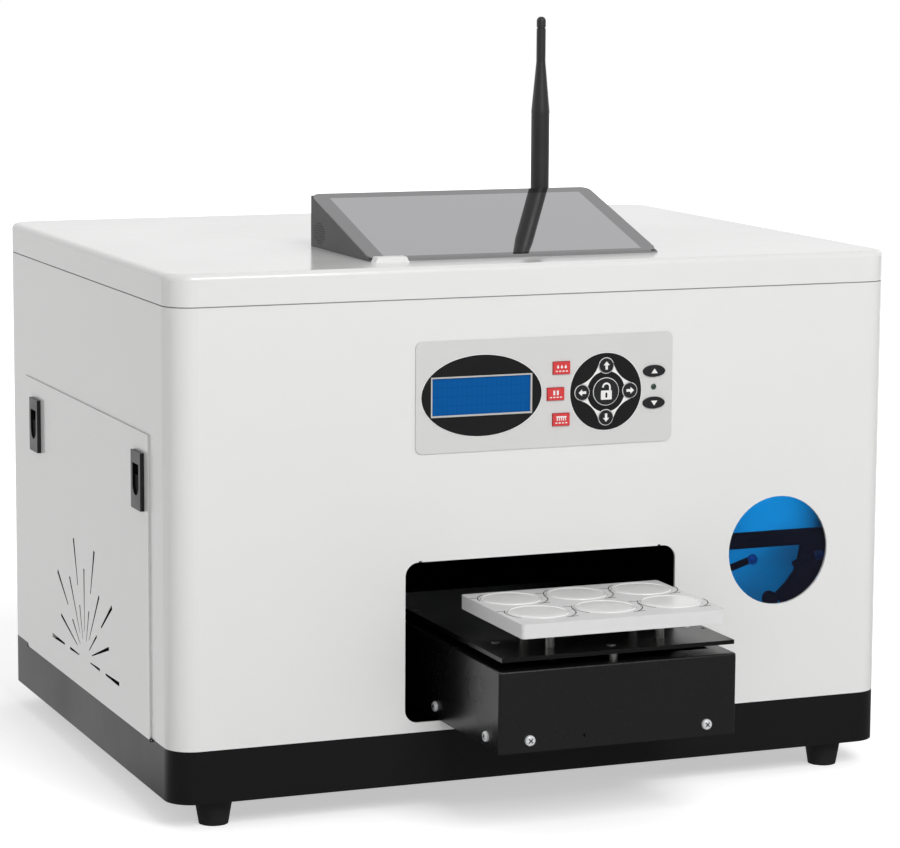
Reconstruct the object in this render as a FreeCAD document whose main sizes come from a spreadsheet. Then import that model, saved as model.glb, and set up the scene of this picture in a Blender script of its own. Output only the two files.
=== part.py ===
import FreeCAD, Part
import math
import os
import Sketcher

# A desktop nail art printer. +X right, +Y to the back, +Z up, the desk at z = 0, millimetres.
# The case stands on four rubber feet; a platform carries the nail tray out through the front.

os.makedirs("parts", exist_ok=True)
doc = FreeCAD.newDocument("nail_art_printer")

# ---------------------------------------------------------------- driving dimensions

SIZES = [
    ("case_width", 560, "outer width of base, shell and lid"),
    ("case_depth", 440, "outer depth of base, shell and lid"),
    ("case_corner", 20, "radius of the upright corners"),
    ("foot_height", 20, "rubber foot, desk to base"),
    ("foot_top_radius", 14, "rubber foot at the base"),
    ("foot_low_radius", 10.5, "rubber foot at the desk"),
    ("foot_side_inset", 37, "foot centre from the side of the case"),
    ("foot_front_inset", 23, "foot centre from the front"),
    ("foot_back_inset", 52, "foot centre from the back"),
    ("base_height", 38, "black base pan"),
    ("base_wall", 2, "wall and floor of the base pan"),
    ("shell_height", 311.2, "white shell between base and lid"),
    ("shell_wall", 2, "wall of the shell"),
    ("shell_flange", 9, "inward flange at the top of the shell"),
    ("seam", 0.2, "round the rear panel"),
    ("lid_gap", 0.8, "shadow gap under the lid"),
    ("lid_height", 22.5, "lid, gap to top"),
    ("lid_wall", 2, "wall and top of the lid"),
    ("lid_edge", 4.5, "rounding of the lid's top edge"),
    ("slot_width", 212, "platform slot in the front"),
    ("slot_centre", -0.8, "x of the slot's middle"),
    ("slot_bottom", 65, "height of the slot's lower edge"),
    ("slot_height", 116.7, "platform slot"),
    ("slot_corner", 10, "corner radius of the slot"),
    ("window_radius", 40.75, "round window hole"),
    ("window_x", 189.8, "centre of the window"),
    ("window_z", 172, "centre of the window"),
    ("pane_lap", 6, "window pane beyond its hole"),
    ("pane_thick", 3, "window pane"),
    ("panel_width", 200, "control panel overlay"),
    ("panel_height", 80, "control panel overlay"),
    ("panel_drop", 69.8, "panel's middle below the top of the shell"),
    ("panel_thick", 1, "overlay in front of the shell"),
    ("panel_corner", 5, "corner radius of the overlay"),
    ("panel_lap", 5, "overlay beyond the hole behind it"),
    ("inlay_thick", 0.4, "black inlays on the overlay"),
    ("display_x", -49.6, "middle of the display"),
    ("display_long", 46.1, "half width of the display inlay"),
    ("display_short", 29.1, "half height of the display inlay"),
    ("lcd_width", 78, "metal frame of the display"),
    ("lcd_height", 29, "metal frame of the display"),
    ("lcd_rim", 1.2, "face of the metal frame"),
    ("lcd_recess", 1.2, "display glass behind the frame's front"),
    ("dial_x", 47, "middle of the key dial"),
    ("dial_drop", 1.6, "key dial's middle below the panel's middle"),
    ("dial_radius", 28, "key dial"),
    ("dial_key_radius", 5.3, "outer keys of the dial"),
    ("dial_pitch", 18.85, "outer keys from the dial's middle"),
    ("unlock_radius", 9.6, "middle key of the dial"),
    ("lift_key_x", 85.2, "up and down keys"),
    ("lift_key_z", 11.6, "up and down keys from the lamp"),
    ("lift_key_long", 8.6, "half width of the up and down keys"),
    ("lift_key_short", 4.1, "half height of the up and down keys"),
    ("red_key_x", 11.8, "upper and lower red key"),
    ("red_key_shift", 4.4, "middle red key to the left of the others"),
    ("red_key_pitch", 18.7, "height between red keys"),
    ("red_key_width", 13.1, "red key"),
    ("red_key_height", 8.9, "red key"),
    ("lamp_radius", 1.9, "status lamp"),
    ("key_proud", 0.8, "key in front of the inlay"),
    ("key_travel", 0.7, "press of a key"),
    ("key_gap", 0.32, "gap round a key and over its switch"),
    ("key_flange", 1, "rim of a key behind the overlay"),
    ("key_stem", 1.6, "radius of a key's stem"),
    ("key_stem_length", 1.2, "stem behind the rim"),
    ("switch_side", 5, "tact switch on the board"),
    ("switch_height", 3.2, "tact switch on the board"),
    ("board_thick", 1.6, "circuit boards"),
    ("door_front", 50.5, "front edge of the side door from the case front"),
    ("door_rear", 56, "rear edge of the side door from the case back"),
    ("door_bottom", 56.3, "height of the door's lower edge"),
    ("door_height", 219.1, "side door"),
    ("door_skin", 1, "door sheet outside the shell"),
    ("door_lap", 4, "door sheet beyond its opening"),
    ("door_pan", 2.5, "raised back of the door inside the opening"),
    ("door_gap", 0.6, "gap round the door's raised back"),
    ("door_rest", 0.3, "gap between door sheet and shell"),
    ("door_ear", 1.2, "radius of the ears that hold the door's hem"),
    ("door_ear_length", 1.8, "ears that hold the door's hem"),
    ("door_ear_gap", 0.3, "between door and ear"),
    ("vent_y", 217.9, "middle of the sun vent from the case front"),
    ("vent_z", 80.6, "height of the vent's middle"),
    ("latch_front", 70.7, "front latch from the case front"),
    ("latch_rear", 91.3, "rear latch from the case back"),
    ("latch_z", 240.5, "height of the latches"),
    ("latch_width", 23, "latch frame"),
    ("latch_height", 41.5, "latch frame"),
    ("latch_proud", 3, "latch frame in front of the door"),
    ("latch_rim", 2, "latch frame beyond its hole"),
    ("thumb_width", 14, "slider in the latch"),
    ("thumb_height", 14, "slider in the latch"),
    ("thumb_recess", 1.4, "slider behind the frame's face"),
    ("thumb_travel", 8, "slider from open to locked"),
    ("tongue_thick", 1.8, "latch tongue behind the door"),
    ("tongue_width", 12, "latch tongue"),
    ("tongue_tip", 2, "open latch tongue below the opening's edge"),
    ("tablet_width", 225, "wedge tablet"),
    ("tablet_x", -5.5, "middle of the tablet"),
    ("tablet_front", 41.7, "tablet's front edge from the case front"),
    ("tablet_depth", 126.3, "tablet, front to back"),
    ("tablet_lip", 2.2, "height of the tablet's front edge"),
    ("tablet_height", 38.8, "height of the tablet's back edge"),
    ("glass_thick", 1.2, "tablet glass"),
    ("glass_corner", 7, "corners of the tablet glass"),
    ("clip_width", 26, "white clip at the tablet's corner"),
    ("clip_depth", 9, "white clip"),
    ("clip_height", 4, "white clip"),
    ("antenna_x", 71, "antenna"),
    ("antenna_back", 9, "antenna axis behind the tablet"),
    ("antenna_rise", 18, "antenna pivot above the lid"),
    ("antenna_base", 5, "radius of the antenna's swivel foot"),
    ("antenna_fork", 5.2, "width of the antenna's tongue"),
    ("antenna_cheek", 2, "cheek beside the tongue"),
    ("antenna_radius", 7, "thick part of the mast"),
    ("antenna_tip_radius", 3.5, "thin part of the mast"),
    ("antenna_thick_top", 96.5, "end of the thick part above the lid"),
    ("antenna_thin_start", 134.5, "start of the thin part above the lid"),
    ("antenna_top", 168.5, "tip of the antenna above the lid"),
    ("platform_centre", 10.65, "x of the platform's middle"),
    ("platform_width", 181.4, "platform box"),
    ("platform_reach", 109.5, "platform box in front of the case"),
    ("platform_length", 250, "platform box, front to back"),
    ("platform_rise", 0.5, "platform box above the slot's lower edge"),
    ("platform_height", 58, "platform box"),
    ("sheet", 1.5, "folded sheet metal"),
    ("flange_front", 20, "folded top of the box at front and back"),
    ("flange_side", 12, "folded top of the box at the sides"),
    ("chassis_rim", 16, "upturned rim of the platform chassis"),
    ("screw_head", 3.75, "pan head radius"),
    ("screw_head_height", 2.4, "pan head"),
    ("screw_radius", 2, "screw shank"),
    ("screw_z", 8.5, "box screws above the box's lower edge"),
    ("slide_end", 57.5, "platform box from the rear wall when it is in"),
    ("rail_spread", 55, "slide rail from the platform's middle"),
    ("rail_width", 15, "slide rail"),
    ("rail_height", 10, "slide rail"),
    ("rail_end", 28, "rear end of the rails from the case back"),
    ("rail_start", 12, "front end of the rails from the case front"),
    ("block_width", 32, "slide block"),
    ("block_length", 40, "slide block"),
    ("block_roof", 5, "slide block above the rail"),
    ("block_gap", 0.35, "slide block round its rail"),
    ("plate_width", 177.5, "lift plate"),
    ("plate_length", 236, "lift plate"),
    ("plate_thick", 3, "lift plate"),
    ("plate_inset", 0.5, "lift plate behind the box's front"),
    ("plate_lift", 6.5, "lift plate over the box"),
    ("guide_radius", 3.3, "guide posts of the lift"),
    ("guide_inset", 11.5, "guide posts from the front of the box"),
    ("guide_depth", 50, "guide posts below the plate"),
    ("guide_gap", 0.08, "guide posts in their tubes"),
    ("tube_wall", 3, "guide tubes"),
    ("tube_height", 40, "guide tubes above the chassis"),
    ("motor_side", 42, "stepper motors"),
    ("motor_length", 34, "stepper motors"),
    ("motor_edge", 4, "corners of the stepper motors"),
    ("lift_screw_radius", 4, "lift screw"),
    ("lift_nut_radius", 9, "lift nut under the plate"),
    ("lift_nut_length", 24, "lift nut under the plate"),
    ("screw_gap", 0.08, "screws in their nuts"),
    ("tray_width", 154.5, "nail tray"),
    ("tray_depth", 112, "nail tray"),
    ("tray_thick", 10, "nail tray"),
    ("tray_reach", 117.5, "nail tray in front of the case"),
    ("tray_rise", 14.4, "tray posts between plate and tray"),
    ("tray_corner", 2.5, "corner radius of the tray"),
    ("tray_post_radius", 3.2, "tray posts"),
    ("tray_post_spread_x", 84.5, "tray posts, side to side"),
    ("tray_post_spread_y", 45.6, "tray posts, front to back"),
    ("tray_pin_radius", 2, "pins on the tray posts"),
    ("tray_pin_length", 5, "pins on the tray posts"),
    ("tray_pin_gap", 0.08, "pins in the tray"),
    ("tray_rest", 0.35, "tray over its posts"),
    ("pad_radius", 22, "round pads of the tray"),
    ("pad_thick", 3, "round pads"),
    ("pad_proud", 0.6, "pads above the tray"),
    ("pad_pitch_x", 51, "pads, side to side"),
    ("pad_pitch_y", 49, "pads, front to back"),
    ("hinge_radius", 3.5, "lid hinge barrel"),
    ("hinge_pin", 1.8, "lid hinge pin"),
    ("hinge_pin_gap", 0.05, "pin in its barrel"),
    ("hinge_back", 4, "hinge axis behind the case"),
    ("hinge_side", 160, "lid hinges from the middle"),
    ("hinge_knuckle", 20, "length of a hinge knuckle"),
    ("hinge_end_gap", 0.4, "between hinge knuckles"),
    ("leaf_height", 14, "hinge leaf"),
    ("leaf_thick", 1.2, "hinge leaf"),
    ("feed_screw_radius", 4, "feed screw"),
    ("feed_motor_gap", 18, "feed motor in front of the rear wall"),
    ("feed_nut_length", 18, "nut under the chassis"),
    ("engine_left_inset", 85, "left engine cheek from the side of the case"),
    ("engine_right_inset", 35, "right engine cheek from the side of the case"),
    ("engine_front", 60, "engine cheeks from the case front"),
    ("engine_depth", 200, "engine cheeks, front to back"),
    ("engine_top", 275, "height of the engine cheeks"),
    ("engine_sheet", 2.5, "engine sheet metal"),
    ("beam_height", 60, "engine beam"),
    ("cheek_leg", 40, "rear leg of the right engine cheek"),
    ("tunnel_top", 188, "height of the sheets round the platform's path"),
    ("tunnel_sheet", 1.5, "sheets round the platform's path"),
    ("rod_radius", 6, "guide rod"),
    ("rod_y", 150, "guide rod from the case front"),
    ("rod_z", 250, "height of the guide rod"),
    ("rod_gap", 0.08, "carriage on its rod"),
    ("carriage_width", 96, "print carriage"),
    ("carriage_depth", 62, "print carriage"),
    ("carriage_height", 62, "print carriage"),
    ("carriage_home", 140, "x of the parked carriage"),
    ("head_height", 14, "print head below the carriage"),
    ("pulley_radius", 8, "belt pulleys"),
    ("pulley_width", 8, "belt pulleys"),
    ("pulley_inset", 23, "belt pulleys from the engine cheeks"),
    ("belt_thick", 1.2, "belt"),
    ("belt_width", 6, "belt"),
    ("belt_gap", 0.35, "belt round a pulley"),
    ("cap_width", 60, "capping station"),
    ("cap_depth", 60, "capping station"),
    ("cap_height", 55, "capping station"),
    ("cap_gap", 4, "head above its cap"),
    ("bar_back", 70, "service bar behind the case front"),
    ("stand_inset", 48.5, "left edge of the service bar's stand from the side of the case"),
    ("arm_length", 73, "long arm of the service bar"),
    ("bar_z", 160, "lower edge of the service bar"),
    ("bar_height", 12.3, "service bar"),
    ("tank_width", 26, "ink tank, front to back"),
    ("tank_depth", 52, "ink tank, side to side"),
    ("tank_height", 95, "ink tank"),
    ("tank_pitch", 30, "ink tanks, front to back"),
    ("tank_inset", 12, "ink tanks from the side of the case"),
    ("tank_gap", 12, "between ink tanks and power supply"),
    ("supply_width", 110, "power supply"),
    ("supply_depth", 130, "power supply"),
    ("supply_height", 96, "power supply"),
    ("supply_inset", 95, "middle of the power supply from the side of the case"),
    ("board_width", 100, "main board"),
    ("board_depth", 120, "main board"),
    ("board_back", 40, "main board in front of the rear wall"),
    ("fan_side", 80, "cooling fan"),
    ("fan_depth", 25, "cooling fan"),
    ("fan_inset", 130, "fan's middle from the side of the case"),
    ("fan_drop", 69.2, "fan's middle below the top of the shell"),
    ("fan_hub", 18, "radius of the fan's hub"),
    ("fan_blade_gap", 1.5, "blades inside the fan's ring"),
    ("rocker_width", 13, "power switch"),
    ("rocker_height", 19, "power switch"),
    ("rocker_pitch", 80, "power switch from the middle of the power supply"),
    ("rocker_z", 88, "power switch"),
]

dims = doc.addObject("Spreadsheet::Sheet", "dims")


class Size:
    """A length with the sheet formula that gives it, so that an object can be bound to it."""

    def __init__(self, text, value):
        self.text = text
        self.value = float(value)

    def joined(self, sign, other, value):
        return Size("(%s %s %s)" % (self.text, sign, other.text), value)

    def __add__(self, other):
        other = size_of(other)
        return self.joined("+", other, self.value + other.value)

    def __sub__(self, other):
        other = size_of(other)
        return self.joined("-", other, self.value - other.value)

    def __mul__(self, other):
        other = size_of(other)
        return self.joined("*", other, self.value * other.value)

    def __truediv__(self, other):
        other = size_of(other)
        return self.joined("/", other, self.value / other.value)

    def __neg__(self):
        return size_of(0) - self

    def __radd__(self, other):
        return size_of(other) + self

    def __rsub__(self, other):
        return size_of(other) - self

    def __rmul__(self, other):
        return size_of(other) * self


def size_of(number):
    """A plain number as a Size; a Size stays as it is."""
    if isinstance(number, Size):
        return number
    return Size(repr(float(number)), number)


class Dimensions:
    """The sheet's values by name."""


d = Dimensions()
for row, (alias, value, meaning) in enumerate(SIZES, start=1):
    dims.set("A%d" % row, alias)
    dims.set("B%d" % row, str(value))
    dims.set("C%d" % row, meaning)
    dims.setAlias("B%d" % row, alias)
    setattr(d, alias, Size("dims." + alias, value))
doc.recompute()

# ---------------------------------------------------------------- building blocks

UPRIGHT = FreeCAD.Rotation()
TURNS = {
    "+z": UPRIGHT,
    "-z": FreeCAD.Rotation(FreeCAD.Vector(1, 0, 0), 180),
    "+y": FreeCAD.Rotation(FreeCAD.Vector(1, 0, 0), -90),
    "-y": FreeCAD.Rotation(FreeCAD.Vector(1, 0, 0), 90),
    "+x": FreeCAD.Rotation(FreeCAD.Vector(0, 1, 0), 90),
    "-x": FreeCAD.Rotation(FreeCAD.Vector(0, 1, 0), -90),
}
ARM_SLOPE = math.radians(17.6)
ARM_WAY = FreeCAD.Vector(math.cos(ARM_SLOPE), 0, math.sin(ARM_SLOPE))
TURNS["arm"] = FreeCAD.Rotation(FreeCAD.Vector(0, 0, 1), ARM_WAY)
nodes = []


def bind(thing, prop, size):
    """Tie a property to its size."""
    thing.setExpression(prop, size_of(size).text)


def place(thing, corner, facing="+z"):
    """Put a thing at a corner or centre, its own Z axis turned to face an axis."""
    thing.Placement = FreeCAD.Placement(FreeCAD.Vector(), TURNS[facing])
    for axis, size in zip("xyz", corner):
        bind(thing, "Placement.Base." + axis, size)
    return thing


def block(name, corner, sides):
    """A block from its lowest corner and its three sides."""
    thing = doc.addObject("Part::Box", name)
    for prop, side in zip(("Length", "Width", "Height"), sides):
        bind(thing, prop, side)
    return place(thing, corner)


def cylinder(name, centre, radius, height, facing="+z"):
    """A cylinder from the centre of its first end."""
    thing = doc.addObject("Part::Cylinder", name)
    bind(thing, "Radius", radius)
    bind(thing, "Height", height)
    return place(thing, centre, facing)


def cone(name, centre, first_radius, last_radius, height, facing="+z"):
    """A cone from the centre of its first end."""
    thing = doc.addObject("Part::Cone", name)
    bind(thing, "Radius1", first_radius)
    bind(thing, "Radius2", last_radius)
    bind(thing, "Height", height)
    return place(thing, centre, facing)


def elliptic(name, centre, long_side, short_side, height, facing="+z"):
    """An elliptic plate: its long half axis along the turned X axis."""
    outline = doc.addObject("Part::Ellipse", name + "_outline")
    bind(outline, "MajorRadius", long_side)
    bind(outline, "MinorRadius", short_side)
    place(outline, centre, facing)
    thing = doc.addObject("Part::Extrusion", name)
    thing.Base = outline
    thing.DirMode = "Normal"
    thing.Solid = True
    bind(thing, "LengthFwd", height)
    return thing


def fused(name, things):
    """Several overlapping things as one."""
    thing = doc.addObject("Part::MultiFuse", name)
    thing.Shapes = things
    thing.Refine = True
    return thing


def grouped(name, things):
    """Several separate solids side by side."""
    thing = doc.addObject("Part::Compound", name)
    thing.Links = things
    return thing


def cut(name, base, tools):
    """A thing less other things."""
    tool = tools[0] if len(tools) == 1 else fused(name + "_tools", tools)
    thing = doc.addObject("Part::Cut", name)
    thing.Base = base
    thing.Tool = tool
    return thing


def node(label, thing):
    """Name a finished piece; the name is also its file's."""
    thing.Label = label
    nodes.append(thing)
    return thing


def new_body(name):
    return doc.addObject("PartDesign::Body", name)


def sketch_on(body, role, name, offset=None):
    """A sketch on one of the body's own planes, moved along the plane's normal."""
    plane = [feature for feature in body.Origin.OriginFeatures if feature.Role == role][0]
    sketch = body.newObject("Sketcher::SketchObject", name)
    sketch.AttachmentSupport = [(plane, "")]
    sketch.MapMode = "FlatFace"
    if offset is not None:
        bind(sketch, "AttachmentOffset.Base.z", offset)
    return sketch


def polygon(sketch, corners):
    """A closed outline through corners, each held by its two distances from the origin."""
    points = [FreeCAD.Vector(size_of(u).value, size_of(v).value, 0) for u, v in corners]
    first = sketch.GeometryCount
    count = len(points)
    for index in range(count):
        line = Part.LineSegment(points[index], points[(index + 1) % count])
        sketch.addGeometry(line, False)
    for index in range(count):
        after = first + (index + 1) % count
        sketch.addConstraint(Sketcher.Constraint("Coincident", first + index, 2, after, 1))
    for index, (u, v) in enumerate(corners):
        for kind, size in (("DistanceX", u), ("DistanceY", v)):
            value = size_of(size).value
            rule = sketch.addConstraint(Sketcher.Constraint(kind, -1, 1, first + index, 1, value))
            bind(sketch, "Constraints[%d]" % rule, size)


def rectangle(sketch, left, low, right, high):
    polygon(sketch, [(left, low), (right, low), (right, high), (left, high)])


def soft_rectangle(sketch, left, low, right, high, radius):
    """A rectangle with rounded corners, held by its four sides and one radius."""
    left, low, right, high, radius = [size_of(value) for value in (left, low, right, high, radius)]
    west, south = left + radius, low + radius
    east, north = right - radius, high - radius
    sides = [(west, low, east, low), (right, south, right, north),
             (east, high, west, high), (left, north, left, south)]
    corners = [(east, south, -math.pi / 2), (east, north, 0),
               (west, north, math.pi / 2), (west, south, math.pi)]
    first = sketch.GeometryCount
    for u1, v1, u2, v2 in sides:
        start = FreeCAD.Vector(u1.value, v1.value, 0)
        sketch.addGeometry(Part.LineSegment(start, FreeCAD.Vector(u2.value, v2.value, 0)), False)
    for u, v, angle in corners:
        centre = FreeCAD.Vector(u.value, v.value, 0)
        round_corner = Part.Circle(centre, FreeCAD.Vector(0, 0, 1), radius.value)
        sketch.addGeometry(Part.ArcOfCircle(round_corner, angle, angle + math.pi / 2), False)
    for index in range(4):
        side, corner = first + index, first + 4 + index
        after = first + (index + 1) % 4
        sketch.addConstraint(Sketcher.Constraint("Tangent", side, 2, corner, 1))
        sketch.addConstraint(Sketcher.Constraint("Tangent", corner, 2, after, 1))
        sketch.addConstraint(Sketcher.Constraint(("Horizontal", "Vertical")[index % 2], side))
        if index:
            sketch.addConstraint(Sketcher.Constraint("Equal", first + 4, corner))
    rule = sketch.addConstraint(Sketcher.Constraint("Radius", first + 4, radius.value))
    bind(sketch, "Constraints[%d]" % rule, radius)
    for side, kind, size in ((0, "DistanceY", low), (1, "DistanceX", right),
                             (2, "DistanceY", high), (3, "DistanceX", left)):
        rule = sketch.addConstraint(Sketcher.Constraint(kind, -1, 1, first + side, 1, size.value))
        bind(sketch, "Constraints[%d]" % rule, size)


def circle(sketch, u, v, radius):
    """A circle held by its centre's distances from the origin and its radius."""
    centre = FreeCAD.Vector(size_of(u).value, size_of(v).value, 0)
    shape = Part.Circle(centre, FreeCAD.Vector(0, 0, 1), size_of(radius).value)
    index = sketch.addGeometry(shape, False)
    for kind, size in (("DistanceX", u), ("DistanceY", v)):
        value = size_of(size).value
        rule = sketch.addConstraint(Sketcher.Constraint(kind, -1, 1, index, 3, value))
        bind(sketch, "Constraints[%d]" % rule, size)
    rule = sketch.addConstraint(Sketcher.Constraint("Radius", index, size_of(radius).value))
    bind(sketch, "Constraints[%d]" % rule, radius)


def pad(body, sketch, name, length, midplane=False):
    thing = body.newObject("PartDesign::Pad", name)
    thing.Profile = sketch
    bind(thing, "Length", length)
    if midplane:
        thing.SideType = "Symmetric"
    doc.recompute()
    return thing


def pocket(body, sketch, name, length, reverse=False, midplane=False):
    """Cut a sketch into the body, and make sure that something was cut."""
    doc.recompute()
    before = body.Shape.Volume
    thing = body.newObject("PartDesign::Pocket", name)
    thing.Profile = sketch
    bind(thing, "Length", length)
    thing.Reversed = reverse
    if midplane:
        thing.SideType = "Symmetric"
    doc.recompute()
    if not thing.Shape.Volume < before:
        raise ValueError(name + " cuts nothing")
    return thing


def rounded(body, name, radius, wanted):
    """Round the edges of the body's tip that a test picks."""
    doc.recompute()
    base = body.Tip
    picked = ["Edge%d" % (index + 1) for index, edge in enumerate(base.Shape.Edges) if wanted(edge)]
    thing = body.newObject("PartDesign::Fillet", name)
    thing.Base = (base, picked)
    bind(thing, "Radius", radius)
    doc.recompute()
    return thing


def runs_along(axis):
    """A test for straight edges along an axis."""
    way = {"x": FreeCAD.Vector(1, 0, 0), "y": FreeCAD.Vector(0, 1, 0), "z": FreeCAD.Vector(0, 0, 1)}[axis]

    def test(edge):
        if edge.Curve.TypeId != "Part::GeomLine":
            return False
        return abs(edge.Curve.Direction.dot(way)) > 0.999
    return test


def lies_at(axis, level):
    """A test for edges that lie in a plane across an axis."""
    def test(edge):
        low = getattr(edge.BoundBox, axis.upper() + "Min")
        high = getattr(edge.BoundBox, axis.upper() + "Max")
        return abs(low - level.value) < 0.01 and abs(high - level.value) < 0.01
    return test


# ---------------------------------------------------------------- levels and lines shared by the pieces

half_width = d.case_width / 2
hinge_reach = d.hinge_back + d.hinge_radius
front = d.tray_reach - (d.tray_reach + d.case_depth + hinge_reach) / 2
back = front + d.case_depth
base_top = d.foot_height + d.base_height
shell_top = base_top + d.shell_height
lid_bottom = shell_top + d.lid_gap
lid_top = lid_bottom + d.lid_height
inner_back = back - d.shell_wall
panel_z = shell_top - d.panel_drop
fan_x = half_width - d.fan_inset
fan_z = shell_top - d.fan_drop
supply_x = d.supply_inset - half_width
rocker_x = supply_x + d.rocker_pitch
engine_left = d.engine_left_inset - half_width
engine_right = half_width - d.engine_right_inset

# ---------------------------------------------------------------- case: base, feet, shell, lid


def case_outline(sketch, inset):
    """The case's plan, a rectangle drawn in by an inset."""
    soft_rectangle(sketch, inset - half_width, front + inset, half_width - inset, back - inset,
                   d.case_corner - inset)


def make_base_pan():
    """An open pan with rounded corners, its floor carried by the feet."""
    body = new_body("base_pan_body")
    outline = sketch_on(body, "XY_Plane", "base_outline", d.foot_height)
    case_outline(outline, size_of(0))
    pad(body, outline, "base_block", d.base_height)
    hollow = sketch_on(body, "XY_Plane", "base_hollow", base_top)
    case_outline(hollow, d.base_wall)
    pocket(body, hollow, "base_inside", d.base_height - d.base_wall)
    return body


def foot_centres():
    """The four feet, front left first."""
    side = half_width - d.foot_side_inset
    for y in (front + d.foot_front_inset, back - d.foot_back_inset):
        for x in (-side, side):
            yield x, y


def make_feet():
    """Tapered rubber feet under the pan."""
    feet = []
    for index, (x, y) in enumerate(foot_centres()):
        low = (x, y, size_of(0))
        feet.append(cone("foot_%d" % index, low, d.foot_low_radius, d.foot_top_radius, d.foot_height))
    return node("rubber_feet", grouped("feet", feet))


slot_left = d.slot_centre - d.slot_width / 2
slot_right = d.slot_centre + d.slot_width / 2
slot_top = d.slot_bottom + d.slot_height
panel_low = panel_z - d.panel_height / 2
panel_high = panel_z + d.panel_height / 2
door_start = front + d.door_front
door_end = back - d.door_rear
door_top = d.door_bottom + d.door_height
inlet_z = d.rocker_z
rear_half = half_width - d.case_corner
rear_high = shell_top - d.shell_wall
INLET_WIDTH = 28
INLET_HEIGHT = 20
FAN_RIM = 2


def make_outer_shell():
    """The white shell: three walls, the corners and a flange at the top, and every opening in it."""
    body = new_body("outer_shell_body")
    outline = sketch_on(body, "XY_Plane", "shell_outline", base_top)
    case_outline(outline, size_of(0))
    pad(body, outline, "shell_block", d.shell_height)
    hollow = sketch_on(body, "XY_Plane", "shell_hollow", base_top)
    case_outline(hollow, d.shell_wall)
    pocket(body, hollow, "shell_inside", d.shell_height - d.shell_wall, reverse=True)
    mouth = sketch_on(body, "XY_Plane", "shell_mouth", shell_top)
    case_outline(mouth, d.shell_wall + d.shell_flange)
    pocket(body, mouth, "shell_top_opening", d.shell_wall * 2)

    middle = d.shell_wall / 2 - front - d.shell_wall
    slot = sketch_on(body, "XZ_Plane", "slot_outline", middle)
    soft_rectangle(slot, slot_left, d.slot_bottom, slot_right, slot_top, d.slot_corner)
    pocket(body, slot, "platform_slot", d.shell_wall * 4, midplane=True)
    heel = sketch_on(body, "XZ_Plane", "slot_heel_outline", middle)
    rectangle(heel, slot_right - d.slot_corner, d.slot_bottom, slot_right, d.slot_bottom + d.slot_corner)
    pocket(body, heel, "slot_heel", d.shell_wall * 4, midplane=True)
    window = sketch_on(body, "XZ_Plane", "window_outline", middle)
    circle(window, d.window_x, d.window_z, d.window_radius)
    pocket(body, window, "window_hole", d.shell_wall * 4, midplane=True)
    panel = sketch_on(body, "XZ_Plane", "panel_outline", middle)
    half_panel = d.panel_width / 2 - d.panel_lap
    rectangle(panel, -half_panel, panel_low + d.panel_lap, half_panel, panel_high - d.panel_lap)
    pocket(body, panel, "panel_hole", d.shell_wall * 4, midplane=True)

    side = sketch_on(body, "YZ_Plane", "door_outline", -half_width)
    rectangle(side, door_start + d.door_lap, base_top, door_end - d.door_lap, door_top - d.door_lap)
    pocket(body, side, "door_opening", d.shell_wall * 4, midplane=True)

    rear = sketch_on(body, "XZ_Plane", "rear_outline", -back)
    rectangle(rear, -rear_half, base_top, rear_half, rear_high)
    pocket(body, rear, "rear_opening", d.shell_wall * 4, midplane=True)
    return node("outer_shell", body)


def make_rear_panel():
    """The flat sheet that closes the shell's back, with openings for the fan, the switch and the inlet."""
    body = new_body("rear_panel_body")
    outline = sketch_on(body, "XZ_Plane", "rear_panel_outline", -back)
    rectangle(outline, d.seam - rear_half, base_top, rear_half - d.seam, rear_high - d.seam)
    pad(body, outline, "rear_panel_sheet", d.shell_wall)
    rear = sketch_on(body, "XZ_Plane", "rear_openings_outline", -back)
    circle(rear, fan_x, fan_z, d.fan_side / 2 - FAN_RIM)
    half_rocker = d.rocker_width / 2
    rectangle(rear, rocker_x - half_rocker, d.rocker_z - d.rocker_height / 2,
              rocker_x + half_rocker, d.rocker_z + d.rocker_height / 2)
    rectangle(rear, supply_x - INLET_WIDTH / 2, inlet_z - INLET_HEIGHT / 2,
              supply_x + INLET_WIDTH / 2, inlet_z + INLET_HEIGHT / 2)
    pocket(body, rear, "rear_openings", d.shell_wall * 4, midplane=True)
    return node("rear_panel", body)


def make_lid():
    """The lid, a shallow cover whose walls stand over the shell's."""
    body = new_body("lid_body")
    outline = sketch_on(body, "XY_Plane", "lid_outline", lid_bottom)
    case_outline(outline, size_of(0))
    pad(body, outline, "lid_block", d.lid_height)
    rounded(body, "lid_top_edge", d.lid_edge, lies_at("z", lid_top))
    hollow = sketch_on(body, "XY_Plane", "lid_hollow", lid_bottom)
    case_outline(hollow, d.lid_wall * 2)
    pocket(body, hollow, "lid_inside", d.lid_height - d.lid_wall, reverse=True)
    return node("lid_cover", body)


# ---------------------------------------------------------------- side door and its latches

left_face = -half_width
door_inner = left_face - d.door_rest
door_outer = door_inner - d.door_skin
door_back = door_inner + d.door_pan
hem_x = door_inner - d.door_skin / 2
hem_z = d.door_bottom + d.door_skin / 2
HEM_GAP = 0.08
latch_face = door_outer - d.latch_proud
latch_back = door_back + d.door_rest * 2
tongue_front = latch_back + d.door_rest
tongue_top = door_top - d.door_lap - d.tongue_tip
thumb_face = latch_face + d.thumb_recess
thumb_low = d.latch_z - d.latch_height / 4
LATCH_GAP = 0.4
VENT_EVEN_SLOTS = ((15, 41, 0.9, 2.2), (56, 92, 1.5, 3.4))
VENT_ODD_SLOTS = ((21, 69, 0.9, 2.8),)
VENT_EVEN_RAYS = 6
VENT_ODD_RAYS = 5
VENT_STEP = 180 / (VENT_EVEN_RAYS + VENT_ODD_RAYS - 1)


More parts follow.
